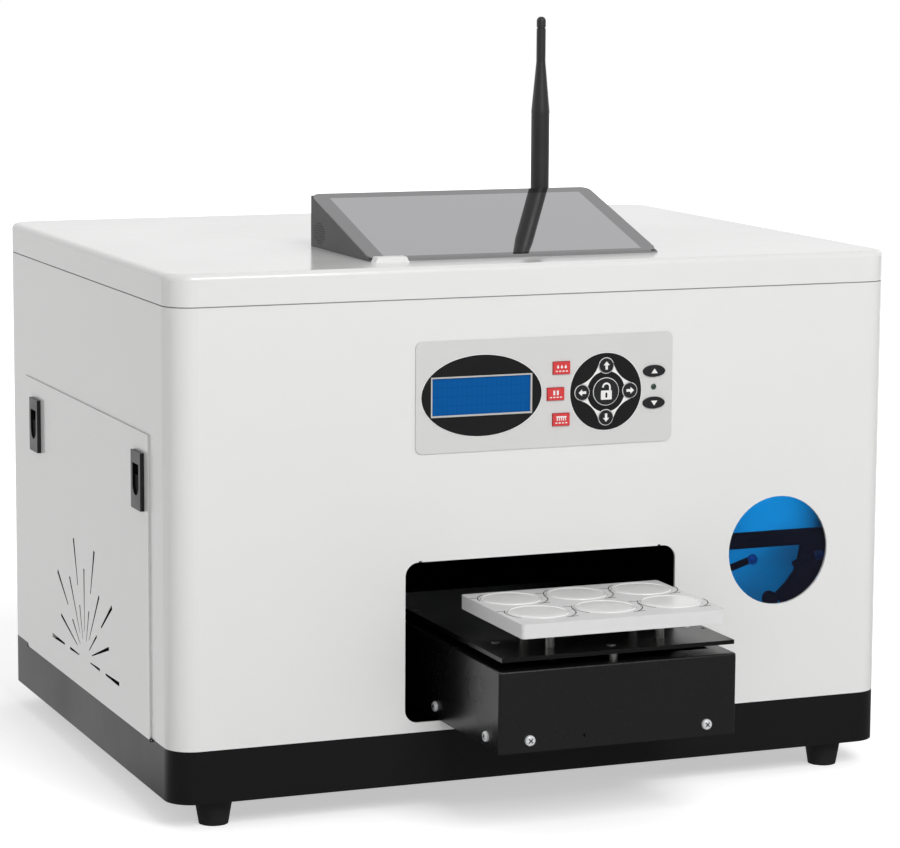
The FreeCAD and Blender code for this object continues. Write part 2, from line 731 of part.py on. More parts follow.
def latch_centres():
    """The two latches by name."""
    return (("front", front + d.latch_front), ("rear", back - d.latch_rear))


def vent_rays(body, name, slots, rays, first_angle):
    """Tapered slots along one ray, repeated round the upper half of the vent."""
    sketch = sketch_on(body, "YZ_Plane", name + "_slots", door_outer)
    sketch.AttachmentOffset = FreeCAD.Placement(
        FreeCAD.Vector(), FreeCAD.Rotation(FreeCAD.Vector(0, 0, 1), first_angle))
    bind(sketch, "AttachmentOffset.Base.x", front + d.vent_y)
    bind(sketch, "AttachmentOffset.Base.y", d.vent_z)
    bind(sketch, "AttachmentOffset.Base.z", door_outer)
    for near, far, near_width, far_width in slots:
        near_half, far_half = near_width / 2, far_width / 2
        polygon(sketch, [(near, -near_half), (far, -far_half), (far, far_half), (near, near_half)])
    ray = pocket(body, sketch, name + "_ray", (d.door_skin + d.door_pan) * 3, midplane=True)
    fan = body.newObject("PartDesign::PolarPattern", name + "_fan")
    fan.Originals = [ray]
    fan.Axis = (sketch, ["N_Axis"])
    fan.Angle = VENT_STEP * 2 * (rays - 1)
    fan.Occurrences = rays
    body.Tip = fan
    doc.recompute()


def make_side_door():
    """A flat door with a raised back in the shell's opening, the sun vent, and the round hem it turns on."""
    body = new_body("side_door_body")
    skin = sketch_on(body, "YZ_Plane", "door_skin_outline", door_outer)
    rectangle(skin, door_start, hem_z, door_end, door_top)
    pad(body, skin, "door_skin_sheet", d.door_skin)
    inset = d.door_lap + d.door_gap
    raised = sketch_on(body, "YZ_Plane", "door_pan_outline", door_inner)
    rectangle(raised, door_start + inset, base_top + d.door_gap, door_end - inset, door_top - inset)
    pad(body, raised, "door_pan_sheet", d.door_pan)
    holes = sketch_on(body, "YZ_Plane", "latch_holes", door_outer)
    half = d.latch_width / 2 - d.latch_rim
    rise = d.latch_height / 2 - d.latch_rim
    for name, y in latch_centres():
        rectangle(holes, y - half, d.latch_z - rise, y + half, d.latch_z + rise)
    pocket(body, holes, "latch_openings", (d.door_skin + d.door_pan) * 3, midplane=True)
    vent_rays(body, "even", VENT_EVEN_SLOTS, VENT_EVEN_RAYS, 0)
    vent_rays(body, "odd", VENT_ODD_SLOTS, VENT_ODD_RAYS, VENT_STEP)
    beyond = d.door_ear_gap + d.door_ear_length
    hem = cylinder("door_hem", (hem_x, door_start - beyond, hem_z), d.door_skin / 2,
                   door_end - door_start + beyond * 2, "+y")
    return node("side_door", fused("side_door_whole", [body, hem]))


def door_ears():
    """The two bored ears on the pan that hold the ends of the door's hem, and their bores."""
    ears = []
    bores = []
    front_y = door_start - d.door_ear_gap - d.door_ear_length
    rear_y = door_end + d.door_ear_gap
    for name, y in (("front", front_y), ("rear", rear_y)):
        ears.append(cylinder("door_ear_" + name, (hem_x, y, hem_z), d.door_ear, d.door_ear_length, "+y"))
        ears.append(block("door_ear_root_" + name, (hem_x, y, hem_z - d.door_ear),
                          (left_face + d.base_wall / 2 - hem_x, d.door_ear_length, d.door_ear * 2)))
        bores.append(cylinder("door_ear_bore_" + name, (hem_x, y - 1, hem_z), d.door_skin / 2 + HEM_GAP,
                              d.door_ear_length + 2, "+y"))
    return ears, bores


def thumb_slot(name, y, gap, travel, depth_from, depth_to):
    """A slot or slider outline across the door: flat top, round bottom."""
    low = thumb_low
    half = d.thumb_width / 2 + gap
    height = d.thumb_height + gap * 2 + travel
    depth = depth_to - depth_from
    upper = block(name + "_upper", (depth_from, y - half, low - gap + half), (depth, half * 2, height - half))
    round_end = cylinder(name + "_round", (depth_from, y, low - gap + half), half, depth, "+x")
    return fused(name, [upper, round_end])


def make_latches():
    """Two slide latches: a frame through the door, and a thumb slider with a tongue behind it."""
    frames = []
    for name, y in latch_centres():
        half = d.latch_width / 2
        rise = d.latch_height / 2
        rim = block("latch_rim_" + name, (latch_face, y - half, d.latch_z - rise),
                    (d.latch_proud, half * 2, rise * 2))
        plug = block("latch_plug_" + name,
                     (door_outer, y - half + d.latch_rim, d.latch_z - rise + d.latch_rim),
                     (latch_back - door_outer, (half - d.latch_rim) * 2, (rise - d.latch_rim) * 2))
        whole = fused("latch_whole_" + name, [rim, plug])
        slot = thumb_slot("thumb_slot_" + name, y, size_of(LATCH_GAP), d.thumb_travel,
                          latch_face - 1, latch_back + 1)
        frames.append(cut("latch_frame_" + name, whole, [slot]))
    node("latch_frames", grouped("latch_pair", frames))
    for name, y in latch_centres():
        thumb = thumb_slot("thumb_" + name, y, size_of(0), 0, thumb_face, tongue_front + d.tongue_thick)
        tongue_low = thumb_low + d.thumb_width / 2
        tongue = block("tongue_" + name, (tongue_front, y - d.tongue_width / 2, tongue_low),
                       (d.tongue_thick, d.tongue_width, tongue_top - tongue_low))
        node("latch_slider_" + name, fused("slider_" + name, [thumb, tongue]))


# ---------------------------------------------------------------- tablet and antenna on the lid

tablet_start = front + d.tablet_front
tablet_end = tablet_start + d.tablet_depth
tablet_left = d.tablet_x - d.tablet_width / 2
antenna_y = tablet_end + d.antenna_back
antenna_z = lid_top + d.antenna_rise
swivel_start = tablet_end + 0.4
SWIVEL_LENGTH = 2.4
SWIVEL_PIN = 1.5
SWIVEL_PIN_GAP = 0.05
FORK_GAP = 0.15
COLLAR_RISE = 6
GROOVE_DROP = 9
GROOVE_DEPTH = 0.5


def make_tablet():
    """A wedge with a sheet of glass on its slope, and the clip that holds its corner."""
    low_edge = lid_top + d.tablet_lip - d.glass_thick
    high_edge = lid_top + d.tablet_height - d.glass_thick
    body = new_body("tablet_body")
    side = sketch_on(body, "YZ_Plane", "tablet_side", tablet_left)
    polygon(side, [(tablet_start, lid_top), (tablet_end, lid_top),
                   (tablet_end, high_edge), (tablet_start, low_edge)])
    pad(body, side, "tablet_wedge", d.tablet_width)
    node("tablet_case", body)
    sheet = new_body("tablet_glass_body")
    edge = sketch_on(sheet, "YZ_Plane", "glass_side", tablet_left)
    polygon(edge, [(tablet_start, low_edge), (tablet_end, high_edge),
                   (tablet_end, high_edge + d.glass_thick), (tablet_start, low_edge + d.glass_thick)])
    pad(sheet, edge, "glass_sheet", d.tablet_width)
    plan_body = new_body("tablet_glass_plan")
    corners = sketch_on(plan_body, "XY_Plane", "glass_corners", lid_top)
    soft_rectangle(corners, tablet_left, tablet_start, tablet_left + d.tablet_width, tablet_end,
                   d.glass_corner)
    pad(plan_body, corners, "glass_plan", d.tablet_height * 2)
    glass = doc.addObject("Part::Common", "glass")
    glass.Base = sheet
    glass.Tool = plan_body
    node("tablet_glass", glass)
    clip = new_body("tablet_clip_body")
    outline = sketch_on(clip, "XZ_Plane", "clip_front", -tablet_start)
    slope = d.clip_height / 2
    polygon(outline, [(tablet_left, lid_top), (tablet_left + d.clip_width, lid_top),
                   (tablet_left + d.clip_width - slope, lid_top + d.clip_height),
                   (tablet_left + slope, lid_top + d.clip_height)])
    pad(clip, outline, "clip_block", d.clip_depth)
    node("tablet_clip", clip)


def make_antenna():
    """A stick antenna: a forked foot that turns on the tablet's back, and a mast that folds in it."""
    swivel = cylinder("swivel_foot", (d.antenna_x, swivel_start, antenna_z), d.antenna_base, SWIVEL_LENGTH, "+y")
    inner = d.antenna_fork / 2 + FORK_GAP
    cheeks = [swivel]
    for name, x in (("left", d.antenna_x - inner - d.antenna_cheek), ("right", d.antenna_x + inner)):
        low = antenna_z - d.antenna_base
        arm = block("cheek_arm_" + name, (x, swivel_start + SWIVEL_LENGTH / 2, low),
                    (d.antenna_cheek, antenna_y - swivel_start - SWIVEL_LENGTH / 2, d.antenna_base * 2))
        end = cylinder("cheek_end_" + name, (x, antenna_y, antenna_z), d.antenna_base, d.antenna_cheek, "+x")
        cheeks += [arm, end]
    pin_start = d.antenna_x - inner - d.antenna_cheek
    cheeks.append(cylinder("fold_pin", (pin_start, antenna_y, antenna_z), size_of(SWIVEL_PIN),
                           (inner + d.antenna_cheek) * 2, "+x"))
    node("antenna_base", fused("antenna_fork_foot", cheeks))

    body = new_body("antenna_mast_body")
    profile = sketch_on(body, "XZ_Plane", "mast_profile", -antenna_y)
    bind(profile, "AttachmentOffset.Base.x", d.antenna_x)
    start = antenna_z + COLLAR_RISE
    groove = lid_top + d.antenna_top - GROOVE_DROP
    inside = d.antenna_tip_radius - GROOVE_DEPTH
    polygon(profile, [(0, start), (d.antenna_radius, start),
                      (d.antenna_radius, lid_top + d.antenna_thick_top),
                      (d.antenna_tip_radius, lid_top + d.antenna_thin_start),
                      (d.antenna_tip_radius, groove), (inside, groove), (inside, groove + 1),
                      (d.antenna_tip_radius, groove + 1), (d.antenna_tip_radius, lid_top + d.antenna_top),
                      (0, lid_top + d.antenna_top)])
    turned = body.newObject("PartDesign::Revolution", "mast_turned")
    turned.Profile = profile
    turned.ReferenceAxis = (profile, ["V_Axis"])
    turned.Angle = 360
    rounded(body, "mast_tip", d.antenna_tip_radius - 0.2, lies_at("z", lid_top + d.antenna_top))
    half_fork = d.antenna_fork / 2
    tongue_radius = d.antenna_base - FORK_GAP * 2
    tongue = block("mast_tongue", (d.antenna_x - half_fork, antenna_y - tongue_radius, antenna_z),
                   (d.antenna_fork, tongue_radius * 2, size_of(COLLAR_RISE)))
    eye = cylinder("mast_eye", (d.antenna_x - half_fork, antenna_y, antenna_z), tongue_radius, d.antenna_fork, "+x")
    bore = cylinder("mast_bore", (d.antenna_x - d.antenna_fork, antenna_y, antenna_z),
                    size_of(SWIVEL_PIN + SWIVEL_PIN_GAP), d.antenna_fork * 2, "+x")
    node("antenna_mast", cut("mast", fused("mast_whole", [body, tongue, eye]), [bore]))


# ---------------------------------------------------------------- control panel

overlay_face = front - d.panel_thick
inlay_face = overlay_face - d.inlay_thick
key_face = inlay_face - d.key_proud
rim_front = front + d.key_gap
stem_front = rim_front + d.key_flange
switch_top = stem_front + d.key_stem_length + d.key_travel + d.key_gap
board_front = switch_top + d.switch_height
dial_z = panel_z - d.dial_drop
KEY_RIM = 0.55
LAMP_GAP = 0.3
BOARD_MARGIN = 2
STANDOFF_RADIUS = 2.5
STANDOFF_INSET = 3.5

ROUND_KEYS = {
    "key_in": (d.dial_x, dial_z + d.dial_pitch, d.dial_key_radius),
    "key_out": (d.dial_x, dial_z - d.dial_pitch, d.dial_key_radius),
    "key_left": (d.dial_x - d.dial_pitch, dial_z, d.dial_key_radius),
    "key_right": (d.dial_x + d.dial_pitch, dial_z, d.dial_key_radius),
    "key_unlock": (d.dial_x, dial_z, d.unlock_radius),
}
OVAL_KEYS = {
    "key_up": (d.lift_key_x, panel_z + d.lift_key_z),
    "key_down": (d.lift_key_x, panel_z - d.lift_key_z),
}
RED_KEYS = {
    "key_nozzle": (d.red_key_x, dial_z + d.red_key_pitch),
    "key_pause": (d.red_key_x - d.red_key_shift, dial_z),
    "key_clean": (d.red_key_x, dial_z - d.red_key_pitch),
}


def round_plug(name, x, z, radius, start, end):
    return cylinder(name, (x, start, z), radius, end - start, "+y")


def oval_plug(name, x, z, grow, start, end):
    return elliptic(name, (x, start, z), d.lift_key_long + grow, d.lift_key_short + grow, end - start, "+y")


def red_plug(name, x, z, grow, start, end):
    half = d.red_key_width / 2 + grow
    rise = d.red_key_height / 2 + grow
    return block(name, (x - half, start, z - rise), (half * 2, end - start, rise * 2))


def key_parts(name, x, z, plug):
    """A key from its cap, its rim behind the overlay and its stem."""
    cap = plug(name + "_cap", size_of(0), key_face, rim_front)
    rim = plug(name + "_rim", size_of(KEY_RIM), rim_front, stem_front)
    stem = cylinder(name + "_stem", (x, stem_front, z), d.key_stem, d.key_stem_length, "+y")
    node(name, fused(name + "_whole", [cap, rim, stem]))


def every_key():
    """Each key's name, place, and a function that makes its outline between two depths."""
    for name, (x, z, radius) in ROUND_KEYS.items():
        yield name, x, z, lambda label, grow, start, end, x=x, z=z, radius=radius: round_plug(
            label, x, z, radius + grow, start, end)
    for name, (x, z) in OVAL_KEYS.items():
        yield name, x, z, lambda label, grow, start, end, x=x, z=z: oval_plug(label, x, z, grow, start, end)
    for name, (x, z) in RED_KEYS.items():
        yield name, x, z, lambda label, grow, start, end, x=x, z=z: red_plug(label, x, z, grow, start, end)


def make_panel():
    """The overlay and its inlays with their holes, the display, the keys, the lamp and the board."""
    body = new_body("overlay_body")
    outline = sketch_on(body, "XZ_Plane", "overlay_outline", -front)
    half = d.panel_width / 2
    soft_rectangle(outline, -half, panel_low, half, panel_high, d.panel_corner)
    pad(body, outline, "overlay_sheet", d.panel_thick)

    lcd_x = d.display_x - d.lcd_width / 2
    lcd_z = panel_z - d.lcd_height / 2
    lcd_hole = block("lcd_hole", (lcd_x, inlay_face - 1, lcd_z), (d.lcd_width, d.panel_thick * 4, d.lcd_height))
    lamp_z = panel_z
    lamp_hole = round_plug("lamp_hole", d.lift_key_x, lamp_z, d.lamp_radius + LAMP_GAP, inlay_face - 1, front + 1)
    key_holes = [plug(name + "_hole", d.key_gap, inlay_face - 1, front + 1) for name, x, z, plug in every_key()]
    node("panel_overlay", cut("overlay", body, [lcd_hole, lamp_hole] + key_holes))
    display = elliptic("display_oval", (d.display_x, inlay_face, panel_z), d.display_long, d.display_short,
                       d.inlay_thick, "+y")
    display_inlay = cut("display_inlay", display, [lcd_hole])
    dial = cylinder("dial_disc", (d.dial_x, inlay_face, dial_z), d.dial_radius, d.inlay_thick, "+y")
    dial_inlay = cut("dial_inlay", dial, key_holes[:len(ROUND_KEYS)])
    node("panel_inlays", grouped("inlays", [display_inlay, dial_inlay]))

    rim = block("lcd_block", (lcd_x, overlay_face, lcd_z), (d.lcd_width, board_front - overlay_face, d.lcd_height))
    glass_size = (d.lcd_width - d.lcd_rim * 2, board_front - overlay_face - d.lcd_recess,
                  d.lcd_height - d.lcd_rim * 2)
    glass_corner = (lcd_x + d.lcd_rim, overlay_face + d.lcd_recess, lcd_z + d.lcd_rim)
    opening = block("lcd_opening", (lcd_x + d.lcd_rim, overlay_face - 1, lcd_z + d.lcd_rim),
                    (glass_size[0], board_front - overlay_face + 2, glass_size[2]))
    node("lcd_frame", cut("lcd_rim_frame", rim, [opening]))
    node("lcd_glass", block("lcd_glass_block", glass_corner, glass_size))
    lamp = round_plug("lamp", d.lift_key_x, lamp_z, d.lamp_radius, inlay_face, board_front + d.board_thick / 2)

    for name, x, z, plug in every_key():
        key_parts(name, x, z, plug)

    board_half = half + BOARD_MARGIN
    board_rise = d.panel_height / 2 + BOARD_MARGIN
    board = [block("control_board_sheet", (-board_half, board_front, panel_z - board_rise),
                   (board_half * 2, d.board_thick, board_rise * 2)), lamp]
    for name, x, z, plug in every_key():
        corner = (x - d.switch_side / 2, switch_top, z - d.switch_side / 2)
        board.append(block(name + "_switch", corner, (d.switch_side, d.switch_height, d.switch_side)))
    for side in (-1, 1):
        for rise in (-1, 1):
            centre = ((board_half - STANDOFF_INSET) * side, front + d.shell_wall,
                      panel_z + (board_rise - STANDOFF_INSET) * rise)
            board.append(cylinder("standoff_%d_%d" % (side + 1, rise + 1), centre, size_of(STANDOFF_RADIUS),
                                  board_front - front - d.shell_wall, "+y"))
    node("control_board", fused("control_board_whole", board))


def make_window():
    """A tinted disc behind the round hole."""
    return node("window_pane", cylinder("pane", (d.window_x, front + d.shell_wall, d.window_z),
                                        d.window_radius + d.pane_lap, d.pane_thick, "+y"))

# ---------------------------------------------------------------- lid hinges

hinge_y = back + d.hinge_back
hinge_z = shell_top + d.lid_gap / 2


def hinge_leaf(name, x, low, high, barrel_bore):
    """A leaf flat on the back with one knuckle round the axis."""
    leaf = block(name + "_leaf", (x, back, low), (d.hinge_knuckle, d.leaf_thick, high - low))
    web_low = hinge_z - d.hinge_radius if barrel_bore is None else hinge_z
    web = block(name + "_web", (x, back + d.leaf_thick / 2, web_low),
                (d.hinge_knuckle, d.hinge_back - d.leaf_thick / 2, d.hinge_radius))
    barrel = cylinder(name + "_barrel", (x, hinge_y, hinge_z), d.hinge_radius, d.hinge_knuckle, "+x")
    whole = fused(name + "_whole", [leaf, web, barrel])
    if barrel_bore is None:
        return whole
    bore = cylinder(name + "_bore", (x - 1, hinge_y, hinge_z), barrel_bore, d.hinge_knuckle + 2, "+x")
    return cut(name, whole, [bore])


def make_hinges():
    """Two hinges: the case leaf carries the pin, the lid leaf turns on it."""
    case_leaves = []
    lid_leaves = []
    for name, side in (("left", -1), ("right", 1)):
        start = d.hinge_side * side - d.hinge_knuckle
        case_leaf = hinge_leaf("hinge_case_" + name, start, hinge_z - d.leaf_height, hinge_z, None)
        pin = cylinder("hinge_pin_" + name, (start, hinge_y, hinge_z), d.hinge_pin,
                       d.hinge_knuckle * 2 + d.hinge_end_gap, "+x")
        case_leaves.append(fused("hinge_case_whole_" + name, [case_leaf, pin]))
        lid_leaves.append(hinge_leaf("hinge_lid_" + name, start + d.hinge_knuckle + d.hinge_end_gap,
                                     lid_bottom, lid_bottom + d.leaf_height, d.hinge_pin + d.hinge_pin_gap))
    node("hinge_case_leaves", grouped("hinge_case_pair", case_leaves))
    node("hinge_lid_leaves", grouped("hinge_lid_pair", lid_leaves))


# ---------------------------------------------------------------- platform on its slide

px = d.platform_centre
box_left = px - d.platform_width / 2
box_right = px + d.platform_width / 2
box_front = front - d.platform_reach
box_back = box_front + d.platform_length
box_low = d.slot_bottom + d.platform_rise
box_high = box_low + d.platform_height
base_floor = d.foot_height + d.base_wall
rail_top = box_low - d.block_roof - d.block_gap
rail_low = rail_top - d.rail_height
rail_front = front + d.rail_start
rail_length = d.case_depth - d.rail_start - d.rail_end
feed_z = box_low - d.feed_screw_radius * 2
feed_front = rail_front
feed_end = inner_back - d.feed_motor_gap - d.motor_length
plate_front = box_front + d.plate_inset
plate_back = plate_front + d.plate_length
plate_low = box_high + d.plate_lift
plate_top = plate_low + d.plate_thick
lift_y = (plate_front + plate_back) / 2
chassis_floor = box_low + d.sheet
motor_top = chassis_floor + d.motor_length
screw_line = box_low + d.screw_z
BEND = 2.2
CHASSIS_GAP = 0.25
SCREW_FIT = 0.05
SPARE_HOLE = 1.5
SPARE_HOLE_X = -27
SCREW_SIDE_INSET = 23
SCREW_FORE = 22
SCREW_AFT = 117
DOME_RADIUS = 1.4
RIB_MARGIN = 3
BLOCK_SKIRT = 6
BLOCK_INSET = 3
BEARING_RISE = 6
BEARING_LENGTH = 8
NUT_SIDE = 18
MOTOR_BORE = 10
FLANGE_HOLE_GAP = 0.6


def screw_seats():
    """The six box screws: name, point on the box's face, and the way the head faces."""
    inset = d.platform_width / 2 - SCREW_SIDE_INSET
    yield "front_left", (px - inset, box_front, screw_line), "-y"
    yield "front_right", (px + inset, box_front, screw_line), "-y"
    for name, y in (("fore", box_front + SCREW_FORE), ("aft", box_front + SCREW_AFT)):
        yield "left_" + name, (box_left, y, screw_line), "-x"
        yield "right_" + name, (box_right, y, screw_line), "+x"


def along(point, facing, distance):
    """A point moved the way that it faces."""
    signs = {"+x": (1, 0, 0), "-x": (-1, 0, 0), "-y": (0, -1, 0)}
    return tuple(size_of(value) + size_of(distance) * sign for value, sign in zip(point, signs[facing]))


def screw_holes(name, radius):
    """Holes for the six screws, through whatever stands behind their heads."""
    depth = d.sheet * 4
    return [cylinder(name + "_" + where, along(point, facing, -depth), radius, depth + 1, facing)
            for where, point, facing in screw_seats()]


def make_platform():
    """The folded box, the chassis inside it, its screws, and the blocks that run on the rails."""
    body = new_body("platform_cover_body")
    outline = sketch_on(body, "XY_Plane", "cover_outline", box_low)
    soft_rectangle(outline, box_left, box_front, box_right, box_back, size_of(BEND))
    pad(body, outline, "cover_block", d.platform_height)
    rounded(body, "cover_bends", size_of(BEND - 0.7), lies_at("z", box_high))
    hollow = sketch_on(body, "XY_Plane", "cover_hollow", box_low)
    soft_rectangle(hollow, box_left + d.sheet, box_front + d.sheet, box_right - d.sheet, box_back - d.sheet,
                   size_of(BEND) - d.sheet)
    pocket(body, hollow, "cover_inside", d.platform_height - d.sheet, reverse=True)
    mouth = sketch_on(body, "XY_Plane", "cover_mouth", box_high)
    rectangle(mouth, box_left + d.flange_side, box_front + d.flange_front,
              box_right - d.flange_side, box_back - d.flange_front)
    pocket(body, mouth, "cover_opening", d.sheet * 2)
    holes = screw_holes("cover_screw_hole", d.screw_radius + SCREW_FIT)
    holes.append(cylinder("spare_hole", (px + SPARE_HOLE_X, box_front - 1, screw_line),
                          size_of(SPARE_HOLE), d.sheet * 2 + 1, "+y"))
    holes.append(cylinder("flange_hole", (px, box_front + d.guide_inset, box_high - d.sheet * 2),
                          d.guide_radius + FLANGE_HOLE_GAP, d.sheet * 3))
    node("platform_cover", cut("cover", body, holes))

    inset = d.sheet + CHASSIS_GAP
    outer = block("chassis_outer", (box_left + inset, box_front + inset, box_low),
                  (d.platform_width - inset * 2, d.platform_length - inset * 2, d.chassis_rim))
    inner_inset = inset + d.sheet
    inner = block("chassis_inner", (box_left + inner_inset, box_front + inner_inset, chassis_floor),
                  (d.platform_width - inner_inset * 2, d.platform_length - inner_inset * 2, d.chassis_rim))
    tray = cut("chassis_tray", outer, [inner] + screw_holes("chassis_screw_hole", d.screw_radius + SCREW_FIT))
    pieces = [tray]
    bores = []
    for name, y in (("front", box_front + d.guide_inset), ("back", plate_back - d.guide_inset)):
        pieces.append(cylinder("guide_tube_" + name, (px, y, box_low), d.guide_radius + d.guide_gap + d.tube_wall,
                               d.tube_height))
        bores.append(cylinder("guide_bore_" + name, (px, y, chassis_floor), d.guide_radius + d.guide_gap,
                              d.tube_height))
    nut_y = box_back - d.feed_nut_length * 2
    pieces.append(block("feed_nut", (px - NUT_SIDE / 2, nut_y, feed_z - NUT_SIDE / 2),
                        (size_of(NUT_SIDE), d.feed_nut_length, box_low - feed_z + NUT_SIDE / 2)))
    bores.append(cylinder("feed_nut_bore", (px, nut_y - 1, feed_z), d.feed_screw_radius + d.screw_gap,
                          d.feed_nut_length + 2, "+y"))
    node("platform_chassis", cut("chassis", fused("chassis_whole", pieces), bores))

    screws = []
    for where, point, facing in screw_seats():
        head = cylinder("pan_head_" + where, point, d.screw_head, d.screw_head_height, facing)
        dome = doc.addObject("Part::Fillet", "pan_dome_" + where)
        dome.Base = head
        doc.recompute()
        dome.Edges = [(outer_edge(head, point, facing), DOME_RADIUS, DOME_RADIUS)]
        shank = cylinder("screw_shank_" + where, along(point, facing, -d.sheet * 2 - CHASSIS_GAP), d.screw_radius,
                         d.sheet * 2 + CHASSIS_GAP + d.screw_head_height / 2, facing)
        screws.append(fused("box_screw_" + where, [dome, shank]))
    node("platform_screws", grouped("box_screws", screws))

    blocks = []
    for side in (-1, 1):
        x = px + d.rail_spread * side
        for where, y in (("front", rail_front + BLOCK_INSET), ("back", box_back - d.block_length - BLOCK_INSET)):
            name = "block_%s_%d" % (where, side + 1)
            whole = block(name + "_whole", (x - d.block_width / 2, y, rail_top - BLOCK_SKIRT),
                          (d.block_width, d.block_length, box_low - rail_top + BLOCK_SKIRT))
            half = d.rail_width / 2 + d.block_gap
            groove = block(name + "_groove", (x - half, y - 1, rail_top - BLOCK_SKIRT - 1),
                           (half * 2, d.block_length + 2, d.block_gap + BLOCK_SKIRT + 1))
            blocks.append(cut(name, whole, [groove]))
    node("slide_blocks", grouped("blocks", blocks))


def outer_edge(head, point, facing):
    """The number of the circle at the far end of a screw head."""
    axis = facing[1]
    sign = 1 if facing[0] == "+" else -1
    level = sign * size_of(point["xyz".index(axis)] + d.screw_head_height * sign).value
    for index, edge in enumerate(head.Shape.Edges):
        low = getattr(edge.BoundBox, axis.upper() + "Min") * sign
        high = getattr(edge.BoundBox, axis.upper() + "Max") * sign
        if abs(low - level) < 0.01 and abs(high - level) < 0.01:
            return index + 1
    raise ValueError("no outer edge")


def make_base():
    """The pan with the rails' ribs, the screw's bearing and the motor's seat on its floor, and the door's ears."""
    pieces = [make_base_pan()]
    rib_half = d.rail_width / 2 + RIB_MARGIN
    for side in (-1, 1):
        x = px + d.rail_spread * side
        pieces.append(block("rail_rib_%d" % (side + 1), (x - rib_half, rail_front, base_floor - d.base_wall / 2),
                            (rib_half * 2, rail_length, rail_low - base_floor + d.base_wall / 2)))
    bearing_half = d.feed_screw_radius * 2
    pieces.append(block("feed_bearing", (px - bearing_half, feed_front, base_floor - d.base_wall / 2),
                        (bearing_half * 2, size_of(BEARING_LENGTH),
                         feed_z + BEARING_RISE - base_floor + d.base_wall / 2)))
    pieces.append(block("motor_seat", (px - d.motor_side / 2, feed_end, base_floor - d.base_wall / 2),
                        (d.motor_side, d.motor_length, feed_z - d.motor_side / 2 - base_floor + d.base_wall / 2)))
    ears, bores = door_ears()
    bores.append(cylinder("feed_bearing_bore", (px, feed_front - 1, feed_z), d.feed_screw_radius + d.screw_gap,
                          size_of(BEARING_LENGTH + 2), "+y"))
    node("base_pan", cut("base_whole", fused("base_pieces", pieces + ears), bores))
    rails = []
    for side in (-1, 1):
        x = px + d.rail_spread * side
        rails.append(block("rail_%d" % (side + 1), (x - d.rail_width / 2, rail_front, rail_low),
                           (d.rail_width, rail_length, d.rail_height)))
    node("slide_rails", grouped("rails", rails))


def motor(name, centre, facing, bore_radius):
    """A square stepper motor with cut corners and a bore where its screw enters."""
    body = new_body(name + "_body")
    outline = sketch_on(body, "XY_Plane", name + "_outline")
    half = d.motor_side / 2
    edge = half - d.motor_edge
    polygon(outline, [(-edge, -half), (edge, -half), (half, -edge), (half, edge),
                      (edge, half), (-edge, half), (-half, edge), (-half, -edge)])
    pad(body, outline, name + "_block", d.motor_length)
    shaft_hole = sketch_on(body, "XY_Plane", name + "_hole")
    circle(shaft_hole, 0, 0, bore_radius)
    pocket(body, shaft_hole, name + "_bore", size_of(MOTOR_BORE), reverse=True)
    return place(body, centre, facing)


def make_feed():
    """The screw that carries the platform in and out, and its motor at the back."""
    node("feed_screw", cylinder("feed_screw_bar", (px, feed_front, feed_z), d.feed_screw_radius,
                                feed_end - feed_front + MOTOR_BORE / 2, "+y"))
    node("feed_motor", motor("feed_motor", (px, feed_end, feed_z), "+y", d.feed_screw_radius + d.screw_gap))


# ---------------------------------------------------------------- lift, tray and pads

tray_front = front - d.tray_reach
tray_back = tray_front + d.tray_depth
tray_left = px - d.tray_width / 2
tray_low = plate_top + d.tray_rise
tray_top = tray_low + d.tray_thick
tray_y = tray_front + d.tray_depth / 2
PAD_SHIFT_X = 1.5
PAD_SHIFT_Y = 5.5
PAD_GAP = 0.2
PLATE_HOLE = 1.6
PLATE_HOLES = ((-72.5, 50), (75.5, 52), (85.5, 43))
LIFT_SCREW_REST = 2


def tray_posts():
    """The places of the four tray posts."""
    for side in (-1, 1):
        for end in (-1, 1):
            yield px + d.tray_post_spread_x / 2 * side, tray_y + d.tray_post_spread_y / 2 * end


def pad_centres():
    """The six pads, three across and two deep."""
    for row in (-0.5, 0.5):
        for column in (-1, 0, 1):
            yield px + PAD_SHIFT_X + d.pad_pitch_x * column, tray_y + PAD_SHIFT_Y + d.pad_pitch_y * row


